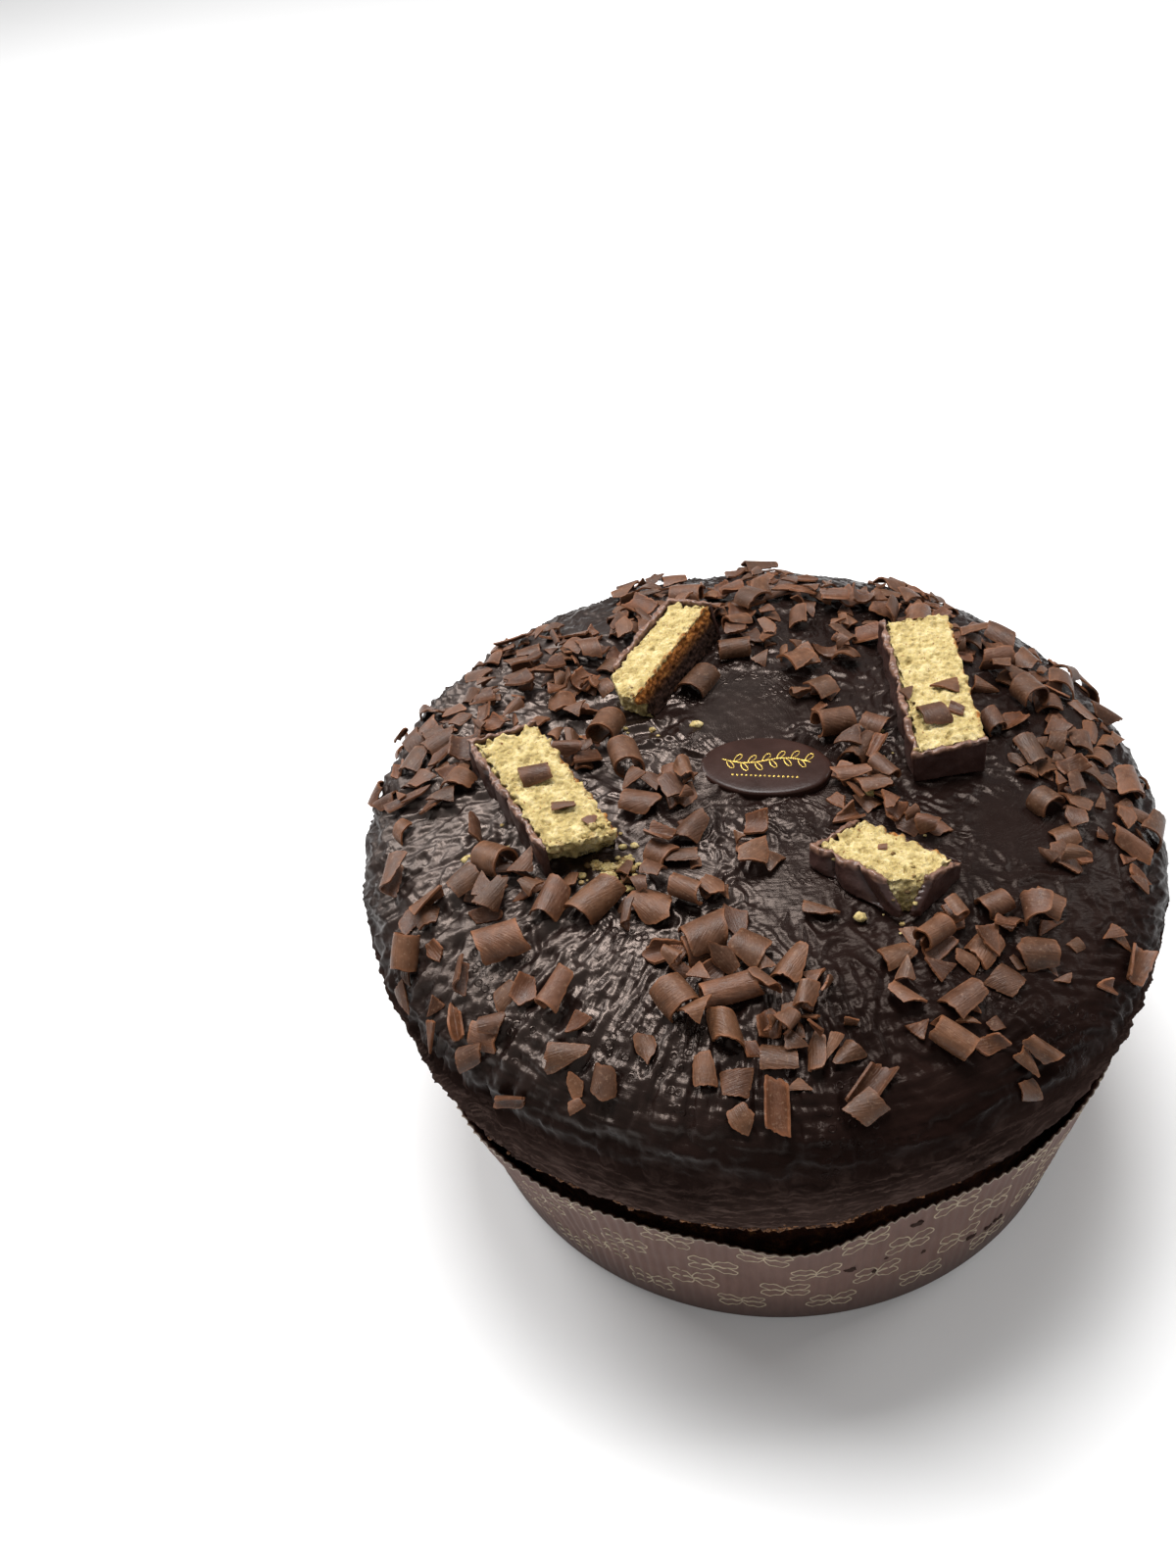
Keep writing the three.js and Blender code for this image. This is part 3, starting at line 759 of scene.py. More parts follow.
def make_hem_flakes(material):
    """Crisp flakes of crust that cling along the ragged edge of the glaze."""
    rng = np.random.default_rng(21)
    flakes = []
    for centre, spread, count in FLAKE_CLUSTERS:
        around = rng.normal(centre, spread, count)
        z = hem_height(around) + 0.4 + 11 * rng.uniform(0, 1, count) ** 1.8
        plain = on_dome(around, elevation_at(z))
        rise = glaze_relief(plain)[:, None] * dome_normal(*plain.T)
        for place in np.stack(tucked(*plain.T), axis=-1) + rise:
            flakes.append(lump(place, rng.uniform(0.4, 1.6), rng))
    mesh_object("crust_flakes", *joined(flakes), material, "crust")


# ---- plaque

PLAQUE_HALF, PLAQUE_TURN = (18.5, 11.5), radians(-3.5)
# the plaque's outline from the middle of its top: share of the half-size, and height
PLAQUE_RINGS = ((0.02, 0.25), (0.3, 0.24), (0.55, 0.18), (0.78, 0.1), (0.9, 0.0), (0.955, -0.12),
                (0.985, -0.4), (1.0, -0.85), (1.0, -2.9), (0.9, -3.0), (0.02, -3.0))


def plaque_centre():
    """Middle and top of the plaque in the construction, in mm."""
    low, high = (np.array(corner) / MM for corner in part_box("plaque"))
    return np.array([*(low + high)[:2] / 2, high[2]])


def make_plaque(material):
    columns = 128
    angle = np.linspace(0, TAU, columns, endpoint=False)
    centre = plaque_centre()
    rim = Noise(61)(np.stack([np.cos(angle) * 2, np.sin(angle) * 2, 0 * angle], axis=-1)) * 0.2
    loops = []
    for share, height in PLAQUE_RINGS:
        x = PLAQUE_HALF[0] * share * np.cos(angle) * (1 + rim * share / 20)
        y = PLAQUE_HALF[1] * share * np.sin(angle) * (1 + rim * share / 12)
        flat = turned(np.stack([x, y], axis=-1), PLAQUE_TURN)
        loops.append(np.column_stack([flat, np.full(columns, height - 0.25)]) + centre)
    faces = grid_faces(len(loops), columns, wrap=True).tolist() + end_faces(len(loops), columns)
    plaque = mesh_object("oval_plaque", np.concatenate(loops), faces, material, "plaque")
    plaque.data.set_sharp_from_angle(angle=radians(60))
    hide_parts("plaque")


def make_ornament(material):
    """A generic gold sprig: a waving stem with leaves, over a row of dots."""
    parts = []
    centre = plaque_centre()

    def on_plaque(flat):
        bulge = 0.25 * (1 - ((flat / PLAQUE_HALF) ** 2).sum(axis=1))
        return np.column_stack([turned(flat, PLAQUE_TURN), bulge - 0.28]) + centre

    def line(flat, width, closed=False):
        points = on_plaque(flat)
        ups = np.tile((0.0, 0.0, 1.0), (len(points), 1))
        parts.append(ribbon(points, directions(points, ups, closed), ups, width, 0.06, closed))

    def stem(t):
        return np.stack([t, 1.6 + 1.3 * np.sin(t / 12.5 * pi)], axis=-1)

    line(stem(np.linspace(-12.5, 12.5, 60)), 0.42)
    for index, root in enumerate(stem(np.linspace(-11, 11, 12))):
        lean = radians(58 if index % 2 else -58)
        line(turned(petal_outline(3.6, 1.7, 14), lean) + root, 0.3, closed=True)
    ring = np.linspace(0, TAU, 10, endpoint=False)
    dot = 0.22 * np.stack([np.cos(ring), np.sin(ring)], axis=-1)
    for x in np.linspace(-9, 9, 15):
        line(dot + (x, -4.6), 0.26, closed=True)
    mesh_object("gold_sprig", *joined(parts), material, "plaque")


# ---- remeshed cake pieces


def tree_of(vertices, faces):
    return BVHTree.FromPolygons([tuple(v) for v in vertices], [tuple(face) for face in faces])


def rows_of(collection, name):
    """A vector property of every item of a mesh, one row each."""
    flat = np.empty(len(collection) * 3)
    collection.foreach_get(name, flat)
    return flat.reshape(-1, 3)


def mesh_parts(mesh):
    """A mesh's vertices in mm and its faces."""
    return rows_of(mesh.vertices, "co") / MM, [list(face.vertices) for face in mesh.polygons]


def remeshed(node, voxel):
    """A finely and evenly meshed copy of a CAD node: vertices in mm, faces and normals."""
    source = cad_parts[node]
    copy = bpy.data.objects.new(f"{node}_copy", source.data.copy())
    bpy.context.scene.collection.objects.link(copy)
    weld = copy.modifiers.new("weld", "WELD")
    weld.merge_threshold = 1e-6
    remesh = copy.modifiers.new("remesh", "REMESH")
    remesh.mode = "VOXEL"
    remesh.voxel_size = voxel * MM
    smooth = copy.modifiers.new("smooth", "SMOOTH")
    smooth.iterations = 4
    even = bpy.data.meshes.new_from_object(copy.evaluated_get(bpy.context.evaluated_depsgraph_get()))
    vertices, faces = mesh_parts(even)
    normals = rows_of(even.vertices, "normal")
    copy_mesh = copy.data
    bpy.data.objects.remove(copy)
    for mesh in (copy_mesh, even):
        bpy.data.meshes.remove(mesh)
    return vertices, faces, normals


def ground_tree(pieces):
    """Everything that a topping can lie on, as one tree of mm points."""
    return tree_of(*joined([mesh_parts(piece.data) for piece in pieces]))


def bar_axes(bar):
    """Origin and rows of unit vectors along, across (left) and up of a bar."""
    shape = BARS[bar]
    turn, climb, lean = radians(shape.heading), radians(shape.pitch), radians(shape.tilt)
    along = np.array([cos(turn) * cos(climb), sin(turn) * cos(climb), sin(climb)])
    flat_left = np.array([-sin(turn), cos(turn), 0])
    left = flat_left * cos(lean) + np.cross(along, flat_left) * sin(lean)
    return np.array(shape.place, dtype=float), np.stack([along, left, np.cross(along, left)])


def bar_place(bar, points):
    """Points in a bar's own frame, with its slanted ends set square."""
    origin, axes = bar_axes(bar)
    local = (points - origin) @ axes.T
    rear_slant, front_slant = BARS[bar].slants
    local[:, 0] -= np.where(local[:, 0] > 0, front_slant, rear_slant) * local[:, 1]
    return local, axes


def paint(piece, name, values):
    """A vertex colour layer of single values or colours."""
    layer = piece.data.color_attributes.new(name, "FLOAT_COLOR", "POINT")
    values = np.asarray(values, dtype=float)
    if values.ndim == 1:
        values = np.repeat(values[:, None], 3, axis=1)
    colours = np.concatenate([values, np.ones((len(values), 1))], axis=1)
    layer.data.foreach_set("color", colours.ravel())


SPONGE_VOXEL, COAT_VOXEL = 0.42, 0.34
crumbly = Noise(71)


def porous(points):
    """How far the sponge's surface goes in (-) or out (+): pits between rough walls."""
    pits = smoothstep(0.1, 0.45, crumbly(points / 1.15))
    holes = smoothstep(0.4, 0.62, crumbly(points / 2.9 + 40))
    rough = (crumbly(points / 2.4 + 9) + crumbly(points / 1.2 + 35.3) / 2) * 0.32
    return rough - 0.55 * pits - 1.2 * holes


def make_sponge(bar, material):
    node = f"{bar}_sponge"
    vertices, faces, normals = remeshed(node, SPONGE_VOXEL)
    local, axes = bar_place(bar, vertices)
    length, width = BARS[bar].length, BARS[bar].width
    relief = porous(vertices)
    near_end = smoothstep(length / 2 - 4, length / 2, np.abs(local[:, 0]))
    near_side = smoothstep(width / 2 - 2.2, width / 2, np.abs(local[:, 1]))
    edge = np.maximum(near_end, near_side) * smoothstep(-3.5, -1, local[:, 2])
    crumbling = 2.6 if bar in ("bar_1", "bar_4") else 1.5
    relief += edge * (crumbly(vertices / 2.3 + 70) * crumbling - 0.45)
    left_side = smoothstep(width / 2 - 1.3, width / 2 - 0.5, local[:, 1])
    relief *= 1 - 0.35 * left_side
    uneven = 0.5 * crumbly(vertices / 2.2 + 15) + 0.25 * crumbly(vertices / 0.9)
    toast = np.clip(left_side * smoothstep(-0.25, 0.25, uneven + 0.8 * (local[:, 2] < -1.2)), 0, 1)
    moved = vertices + normals * relief[:, None]
    if bar in ("bar_1", "bar_2"):
        # the front end slopes inwards toward its foot
        undercut = smoothstep(length / 2 - 6, length / 2, local[:, 0])
        undercut = undercut * smoothstep(-1.5, -8, local[:, 2])
        moved -= (undercut * (5 + 2.5 * crumbly(vertices / 3 + 90)))[:, None] * axes[0]
    sponge = mesh_object(f"{bar}_cake", moved, faces, material, "sponge")
    # painted shade: the browned side darkens toward the bar's foot, where it lies in shade
    depth = smoothstep(-1.5, -7.5, local[:, 2])
    paint(sponge, "toast", np.stack([toast, depth, 0 * toast], axis=-1))
    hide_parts(node)
    return sponge


def corner_reach(local, length, width):
    """How far a coat's walls run on into the broken front right corner, most of all at their foot."""
    depth = smoothstep(-0.5, -8, local[:, 2])
    along = smoothstep(length / 2 - 14, length / 2 - 8, local[:, 0]) * (local[:, 1] < 2.8 - width / 2)
    across = smoothstep(14 - width / 2, 8 - width / 2, local[:, 1]) * (local[:, 0] > length / 2 - 2.8)
    return np.stack([along * (2 + 5.5 * depth), -across * (2.4 + 5 * depth), 0 * depth], axis=-1)


def make_coat(bar, material):
    node = f"{bar}_coat"
    vertices, faces, normals = remeshed(node, COAT_VOXEL)
    local, axes = bar_place(bar, vertices)
    length, width = BARS[bar].length, BARS[bar].width
    leaning = bar == "bar_4"
    outside = np.clip(-(normals @ axes[1]), 0, 1) * (local[:, 1] < 0)
    rib, rib_depth = (9.3, 2.7) if leaning else (12.2, 1.9)
    bent = local[:, 0] + 0.3 * local[:, 2] + 1.2 * crumbly(vertices / 8)
    ribs = (np.sqrt(np.abs(np.sin(bent * pi / rib))) - 0.58) * rib_depth
    relief = ribs * outside + crumbly(vertices / 3.2 + 20) * 0.25
    rim = smoothstep(-1.6, -0.1, local[:, 2])
    relief += rim * crumbly(vertices / 1.5 + 50) * 0.5
    broken = crumbly(vertices / (3.1, 3.1, 60) + 33) * 0.9
    if leaning:
        broken = broken - 2.6 * smoothstep(0.35, 0.6, local[:, 1] / width)
    moved = vertices + normals * relief[:, None] + (rim * broken)[:, None] * axes[2]
    if leaning:
        moved = moved + corner_reach(local, length, width) @ axes
    coat = mesh_object(f"{bar}_shell", moved, faces, material, "coat")
    paint(coat, "rim", rim * (0.5 + 0.5 * smoothstep(-0.3, 0.4, crumbly(vertices / 1.2 + 77))))
    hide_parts(node)
    return coat


# ---- curls

CURL_THICKNESS = 0.8
# the largest curls, as in the construction: azimuth, distance from the dome's axis, heading,
# roll, lift, length, radius, arc, taper
LARGE_CURLS = (
    (-71.5, 103, 80, 60, 0, 12, 4.5, 170, 0.1), (-62, 97.5, 30, 60, 0, 11, 5, 110, 0.3),
    (-57.5, 107.5, 65, 0, 12, 10, 3.8, 290, 0), (-47, 101, 80, 90, 0, 10, 4, 130, 0.2),
    (-43.5, 108.5, 95, 150, 0, 10, 2.6, 150, 0.2), (-38.5, 104, 5, 20, 0, 8, 3.2, 160, 0),
    (-47, 88.5, 15, 10, 0, 13, 5.5, 200, 0), (-47, 72.5, 75, 0, 0, 12, 6, 160, 0.35),
    (-62, 78, -30, 0, 12, 10, 4.8, 290, 0), (-39.5, 65, 60, 0, 0, 13, 5, 200, 0),
    (-32.5, 90, 60, 60, 0, 11, 4, 220, 0), (-26, 101.5, 10, 0, 0, 11, 8, 80, 0.8),
    (-20, 104.5, 90, 0, 0, 9, 3.2, 180, 0), (-16, 94.5, -85, 0, 0, 8, 7, 80, 0.8),
    (-31.5, 113.5, 15, 150, 0, 10, 4, 120, 0.3), (-27.5, 57.5, 160, 0, 0, 12, 6, 150, 0.3),
    (-11.5, 62, 20, 10, 0, 13, 5.5, 190, 0), (-19, 69, 0, 160, 0, 11, 5, 110, 0.2),
    (8, 69, 60, 20, 0, 13, 6, 110, 0.7), (-13.5, 81, 120, 0, 0, 9, 4.8, 240, 0.1),
    (-4, 77.5, 10, 0, 0, 14, 3.5, 300, 0), (-4.5, 87, 90, 0, 0, 8, 5.5, 170, 0),
    (3.5, 93, 0, 20, 0, 9, 5, 110, 0), (3, 104, 90, 180, 0, 13, 3.5, 150, 0.1),
    (9.5, 92, 85, 30, 0, 11, 5, 90, 0.6), (15.5, 102, 60, 180, 0, 14, 3.2, 170, 0),
    (18, 54, -20, 30, 0, 10, 6, 80, 0.6), (37, 76, 45, 150, 0, 10, 5, 120, 0.2),
    (43.5, 84, 50, 0, 0, 10, 5, 130, 0.3), (49, 93, 10, -10, 0, 11, 6.3, 130, 0.2),
    (34, 91, 40, 20, 0, 11, 7, 90, 0.3), (28.5, 98, -40, 0, 0, 11, 3.6, 300, 0),
    (26, 85, -30, 40, 0, 9, 4, 110, 0), (-62, 35, -20, 0, 0, 11, 5, 180, 0.3),
    (-88, 36, -80, 0, 6, 11, 4.5, 320, 0), (-33, 31, 60, 0, 0, 11, 5.5, 140, 0.4),
    (-107, 45, -95, 0, 6, 9, 4.2, 320, 0), (-154, 38.5, 70, 0, 0, 11, 4.5, 200, 0),
    (-173, 50, 8, 0, 0, 10, 3.2, 290, 0), (100, 30.5, 60, 0, 0, 12, 5.5, 170, 0.4),
)
# past this distance from the dome's axis the smaller curls lie flat
SHOULDER = 88
# where the smaller curls lie: azimuth, distance, spread in mm, how many
DRIFTS = (
    (-90, 98, 9, 11), (-99, 92, 9, 11), (-110, 90, 10, 11), (-122, 80, 10, 11), (-135, 77, 10, 11),
    (-148, 76, 10, 10), (-165, 81, 9, 10), (180, 82, 9, 11), (168, 85, 9, 11), (157, 88, 9, 10),
    (144, 88, 9, 10), (131, 91, 8, 9), (117, 93, 8, 9), (104, 97, 8, 8), (93, 101, 7, 7),
    (82, 103, 6, 5), (-120, 60, 8, 8), (-99, 52, 7, 6), (-75, 33, 6, 4), (-64, 24, 5, 3),
    (-60, 82, 7, 6), (-54, 70, 6, 4), (-34, 60, 6, 3), (-30, 40, 7, 4), (-4, 33, 6, 3),
    (-13, 54, 7, 4), (-14, 70, 8, 5), (-5, 78, 8, 6), (5, 84, 8, 6), (3, 97, 6, 3), (13, 84, 8, 4),
    (36, 76, 7, 4), (46, 84, 8, 5), (52, 94, 7, 4), (30, 98, 8, 3), (36, 106, 6, 2),
    (101, 32, 5, 5), (77, 26, 5, 4), (68, 37, 7, 6), (60, 48, 5, 3), (97, 79, 7, 6), (88, 88, 8, 6),
    (68, 80, 6, 2), (76, 91, 6, 3), (147, 37, 6, 4), (170, 52, 6, 4), (154, 61, 7, 6), (-177, 57, 5, 4),
    (-24, 102, 8, 2), (14, 105, 5, 1), (-45, 106, 9, 4), (-58, 107, 8, 3), (60, 105, 7, 3),
    (75, 109, 5, 2), (-160, 100, 9, 9), (180, 104, 8, 9), (150, 106, 8, 8), (-130, 100, 9, 9),
    (-105, 106, 8, 6), (120, 107, 7, 5),
)


def broken_outline(turn, corners, jitter, rng):
    """Distance from the middle to the edge of a broken shard, at each turn in radians."""
    if corners == 4:
        spread = np.array([0.25, 0.75, 1.25, 1.75]) * pi
        reach = np.full(4, 2**0.5)
    else:
        spread = (np.arange(corners) + rng.uniform(0, 1)) * TAU / corners
        reach = np.full(corners, 1.22)
    spread = np.sort((spread + rng.normal(0, jitter, corners)) % TAU)
    reach = reach * (1 - rng.uniform(0, 1.3 * jitter, corners))
    points = np.stack([reach * np.cos(spread), reach * np.sin(spread)], axis=-1)
    turn = turn % TAU
    side = np.searchsorted(spread, turn) % corners
    start, end = points[side - 1], points[side]
    edge = end - start
    heading = np.stack([np.cos(turn), np.sin(turn)], axis=-1)
    reached = (start[..., 0] * edge[..., 1] - start[..., 1] * edge[..., 0])
    reached = reached / (heading[..., 0] * edge[..., 1] - heading[..., 1] * edge[..., 0])
    steps = rng.normal(0, 0.035, 40)
    ragged = np.interp(turn, np.linspace(0, TAU, 41), np.append(steps, steps[0]))
    return np.clip(reached, 0.2, 1.6) * (1 + ragged)


# what lies on the bars: azimuth, distance, heading, roll, length, radius, arc, corners
BAR_CHIPS = (
    (-77.5, 60.7, 18, 0, 9.5, 3.4, 170, 4), (-64, 55.9, 5, 20, 6, 2.6, 110, 4),
    (-54.5, 52.3, -60, 0, 5.5, 4, 80, 3), (111.9, 58.7, 25, 0, 9.5, 6, 75, 3),
    (101.1, 50, 25, 0, 8.5, 5, 150, 4), (102.4, 56.7, -30, 160, 5, 3, 90, 4),
    (114.7, 47.2, 70, 0, 6, 4, 80, 3), (44.6, 47.7, 0, 0, 2.6, 2, 70, 4),
)


def curl_shape(length, radius, arc, taper, rng, corners=4, jitter=0.1, fold=0.0):
    """A broken sheet rolled about X, back up: outer and inner grids of points in mm."""
    rows, columns = 13 if arc < 190 else 21, 11
    q, p = np.meshgrid(np.linspace(-1, 1, rows), np.linspace(-1, 1, columns), indexing="ij")
    ring = np.maximum(np.abs(p), np.abs(q))
    turn = np.arctan2(q, p)
    edge = broken_outline(turn, corners, jitter, rng)
    v, u = ring * edge * np.cos(turn), ring * edge * np.sin(turn)
    u = u * (1 - taper * (v + 1) / 2)
    half = radians(arc) / 2
    # the rolled section, walked in fine steps from its middle to beyond its ragged ends
    fine = np.linspace(-1.7, 1.7, 341)
    tight = rng.uniform(0, 0.12) * (arc > 200)
    even = fine + tight * fine**2
    sharp = np.tanh(4 * fine) / np.tanh(4.0)
    bend = half * (even * (1 - fold) + sharp * fold)
    step = np.gradient(fine) * radius * half
    run_y, run_z = np.cumsum(-np.cos(bend) * step), np.cumsum(-np.sin(bend) * step)
    middle = len(fine) // 2
    angle = np.interp(u, fine, bend)
    y = np.interp(u, fine, run_y - run_y[middle])
    z = np.interp(u, fine, run_z - run_z[middle])
    # skewed, cupped and twisted a little, and thinner toward the edge
    x = length / 2 * v + 0.18 * length * rng.normal(0, 0.5) * u
    cupped = -rng.uniform(-0.1, 0.35) * length / 10 * v**2
    thick = CURL_THICKNESS * rng.uniform(0.8, 1.15) * (1 - 0.25 * ring**6)
    twist = rng.normal(0, 0.16) * v

    def sheet(offset):
        out_y, out_z = y - np.sin(angle) * offset, z + np.cos(angle) * offset
        turned_y = out_y * np.cos(twist) - out_z * np.sin(twist)
        turned_z = out_y * np.sin(twist) + out_z * np.cos(twist)
        return np.stack([x, turned_y, turned_z - (z.max() + z.min()) / 2], axis=-1)

    return sheet(cupped), sheet(cupped - thick)


def sheet_solid(outer, inner):
    """Closes two grids of the same size into one solid: vertices, faces and the outer grid's border."""
    rows, columns = outer.shape[:2]
    count = rows * columns
    front = grid_faces(rows, columns)
    faces = front[:, ::-1].tolist() + (front + count).tolist()
    index = np.arange(count).reshape(rows, columns)
    ring = [*index[0], *index[1:, -1], *index[-1, -2::-1], *index[-2:0:-1, 0]]
    for here, there in zip(ring, ring[1:] + ring[:1]):
        faces.append([here, there, there + count, here + count])
    return np.concatenate([outer.reshape(-1, 3), inner.reshape(-1, 3)]), faces, ring


def curl_place(azimuth, distance, heading, roll, lift):
    """Where a curl lies: a point on the dome, its normal and the curl's axes as rows."""
    turn = radians(azimuth)
    z = EQUATOR + RISE * (1 - (distance / DOME_RADIUS) ** POWER) ** (1 / POWER)
    point = np.array([shift_x(z) + distance * sin(turn), -distance * cos(turn), z])
    normal = dome_normal(*point)
    compass = np.array([cos(radians(heading)), sin(radians(heading)), 0])
    along = compass - normal * (compass @ normal)
    along /= np.linalg.norm(along)
    across = np.cross(normal, along)
    tip, spin = radians(lift), radians(roll)
    raised = along * cos(tip) + normal * sin(tip)
    over = np.cross(raised, across)
    rolled = across * cos(spin) - over * sin(spin)
    back = across * sin(spin) + over * cos(spin)
    return point, normal, np.stack([raised, rolled, back])


class Drift:
    """Curls laid one by one on the cake, none running through another."""

    # rays start this far above a curl, curls further apart than the reach aren't tested against each
    # other, and a curl climbs over others in steps
    ABOVE, REACH, STEP = 25, 17, 0.7

    def __init__(self, ground):
        self.ground = ground
        self.laid = []

    def clearance(self, vertices, normal):
        """Millimetres between the lowest of the vertices and the cake, along the normal."""
        low_first = np.argsort(vertices @ normal)[:70]
        gap = 1e9
        for vertex in vertices[low_first]:
            hit = self.ground.ray_cast(Vector(vertex + normal * self.ABOVE), Vector(-normal))
            if hit[0] is not None:
                gap = min(gap, hit[3] - self.ABOVE)
        return gap

    def hits(self, tree, middle):
        return any(np.linalg.norm(middle - other) < self.REACH and tree.overlap(other_tree)
                   for other, other_tree in self.laid)

    def lay(self, spot, size, outline, rng, most_lift, sink=0.3, most_above=7, tallest=30):
        """Lays a curl and returns its parts, or None if it has no room or would stand too high.

        The curl sinks into the ground by sink, and climbs over others by most_lift at most.
        """
        point, normal, axes = curl_place(*spot)
        vertices, faces, border = sheet_solid(*curl_shape(*size, rng, *outline))
        vertices = vertices @ axes + point
        for _ in range(2):
            vertices = vertices - normal * (self.clearance(vertices, normal) + sink)
        settled = vertices.mean(axis=0)
        if abs((settled - point) @ normal) > most_above:
            return None
        lifted = 0.0
        while True:
            tree = tree_of(vertices, faces)
            if not self.hits(tree, vertices.mean(axis=0)):
                break
            lifted += self.STEP
            if lifted > most_lift:
                return None
            vertices = vertices + normal * self.STEP
        if ((vertices - point) @ normal).max() > tallest:
            return None
        self.laid.append((vertices.mean(axis=0), tree))
        return vertices, faces, border


def curl_object(name, curls, material, rng):
    """One object from laid curls, with a tint for each, a painted highlight along each curl's rim, and
    lines along the roll.
    """
    vertices, faces = joined([curl[:2] for curl in curls])
    piece = mesh_object(name, vertices, faces, material, "curl")
    tints, flat = [], []
    for curl_vertices, _, border in curls:
        count = len(curl_vertices) // 2
        brightness = rng.uniform(0.66, 1.3)
        warmth = rng.uniform(0.9, 1.08)
        outer = np.tile(np.array([1.0, 1.0, 1.0 / warmth]) * brightness, (count, 1))
        inner = np.tile(np.array([0.86, 0.74, 0.62 / warmth]) * brightness, (count, 1))
        # painted highlight: each curl's rim is lighter, standing in for light caught by its thin edge
        outer[border] = np.array([1.55, 1.4, 1.2]) * brightness
        inner[border] = np.array([1.5, 1.25, 1.0]) * brightness
        tints.append(np.concatenate([outer, inner]))
        centred = curl_vertices - curl_vertices.mean(axis=0)
        main = np.linalg.svd(centred, full_matrices=False)[2]
        flat.append(centred @ main[:2].T + rng.uniform(0, 50, 2))
    paint(piece, "tint", np.concatenate(tints))
    layer = piece.data.uv_layers.new(name="lines")
    corners = np.empty(len(piece.data.loops), dtype=int)
    piece.data.loops.foreach_get("vertex_index", corners)
    layer.data.foreach_set("uv", np.concatenate(flat)[corners].ravel())
    piece.data.set_sharp_from_angle(angle=radians(42))
    return piece


# half-sizes of the oval that curls keep out of, round the plaque
PLAQUE_CLEAR = (21, 14)


def keeps_clear(spot):
    """Whether a spot is off the plaque and off every bar."""
    if (((spot - plaque_centre()[:2]) / PLAQUE_CLEAR) ** 2).sum() < 1:
        return False
    for bar, shape in BARS.items():
        origin, axes = bar_axes(bar)
        local = (np.array([*spot, origin[2]]) - origin) @ axes.T
        if abs(local[0]) < shape.length / 2 + 2 and abs(local[1]) < shape.width / 2 + 3:
            return False
    return True


# kinds of smaller curl: share of all, length factor, range of radius, of arc and of taper, numbers
# of corners, their jitter, and fold
CURL_KINDS = {
    "shell": (0.3, 1, (3.8, 6), (90, 160), (0, 0.5), (4,), 0.16, 0),
    "scroll": (0.16, 1, (2.6, 4.2), (210, 330), (0, 0.15), (4,), 0.07, 0),
    "shard": (0.28, 1, (4.5, 8), (50, 95), (0, 0.3), (3, 5), 0.22, 0),
    "folded shard": (0.14, 1, (4, 6), (80, 130), (0, 0.5), (3, 4, 5), 0.16, 0.85),
    "chip": (0.12, 0.6, (2.6, 4), (70, 130), (0, 0.4), (3, 4), 0.2, 0),
}


def random_curl(rng):
    """Size, outline, roll and lift of a smaller curl."""
    kind = list(CURL_KINDS)[rng.choice(len(CURL_KINDS), p=[values[0] for values in CURL_KINDS.values()])]
    _, shortening, *ranges, corners, jitter, fold = CURL_KINDS[kind]
    length = rng.uniform(6, 11.5) * shortening
    roll = rng.choice((0, 180, 60, -60), p=(0.6, 0.2, 0.1, 0.1))
    size = (length, *(rng.uniform(*limits) for limits in ranges))
    if len(corners) > 1:
        corners = (rng.choice(corners),)
    if kind == "shard":
        roll = rng.choice((0, 180))
    return size, (corners[0], jitter, fold), roll + rng.normal(0, 16), rng.normal(0, 11)


def lay_large_curls(drift, material, rng):
    """The curls that stand for CAD nodes, each an object of its own."""
    for index, (azimuth, distance, heading, roll, lift, *size) in enumerate(LARGE_CURLS):
        outline = (4, 0.07, 0.0) if size[2] > 190 else (rng.choice((4, 5)), 0.12, rng.choice((0.0, 0.5)))
        curl = drift.lay((azimuth, distance, heading, roll, lift), size, outline, rng, 9)
        if curl is None:
            raise ValueError(f"no room for large curl {index + 1}")
        piece = curl_object(f"rolled_curl_{index + 1:02d}", [curl], material, rng)
        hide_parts(f"curl_{index + 1:02d}")


def lay_bar_chips(drift, material, rng):
    """The chips on the bars, where there is room."""
    chips = []
    for azimuth, distance, heading, roll, length, radius, arc, corners in BAR_CHIPS:
        spot, size = (azimuth, distance, heading, roll, 0), (length, radius, arc, 0.1)
        chips.append(drift.lay(spot, size, (corners, 0.15, 0.0), rng, 3, sink=0.2, most_above=30))
    curl_object("chips_on_bars", [chip for chip in chips if chip], material, rng)


def lay_small_curl(drift, middle, spread, rng):
    """Tries to lay a smaller curl near a point: its azimuth and its parts, or None."""
    size, outline, roll, lift = random_curl(rng)
    spot = middle + rng.normal(0, spread, 2)
    heading = rng.uniform(0, 360)
    if not keeps_clear(spot):
        return None
    across, along = spot - (DOME_SHIFT, 0)
    away, around = min(np.hypot(across, along), DOME_RADIUS - 1.5), float(azimuth_of(across, along))
    most_lift, tallest = 4.5, 9.5
    if away > SHOULDER:
        if size[2] > 200:
            return None
        lift, most_lift, tallest = 0.3 * lift, 1.5, 5.5
        roll = roll if abs(roll) > 90 else 0.4 * roll
    spot = (around, away, heading, roll, lift)
    curl = drift.lay(spot, size, outline, rng, most_lift, sink=0.5, tallest=tallest)
    return curl and (around, curl)


def lay_small_curls(drift, material, rng):
    """The smaller curls, drift by drift, as one object for each side of the cake."""
    heaps = {"front": [], "left": [], "back": [], "right": []}
    for azimuth, distance, spread, count in DRIFTS:
        middle = curl_place(azimuth, distance, 0, 0, 0)[0][:2]
        laid, tries = 0, 0
        while laid < 1.4 * count and tries < 7 * count:
            tries += 1
            found = lay_small_curl(drift, middle, spread * 0.75, rng)
            if found:
                laid += 1
                side = ("front", "right", "back", "left")[int(((found[0] + 45) % 360) // 90)]
                heaps[side].append(found[1])
    for side, curls in heaps.items():
        curl_object(f"small_curls_{side}", curls, material, rng)


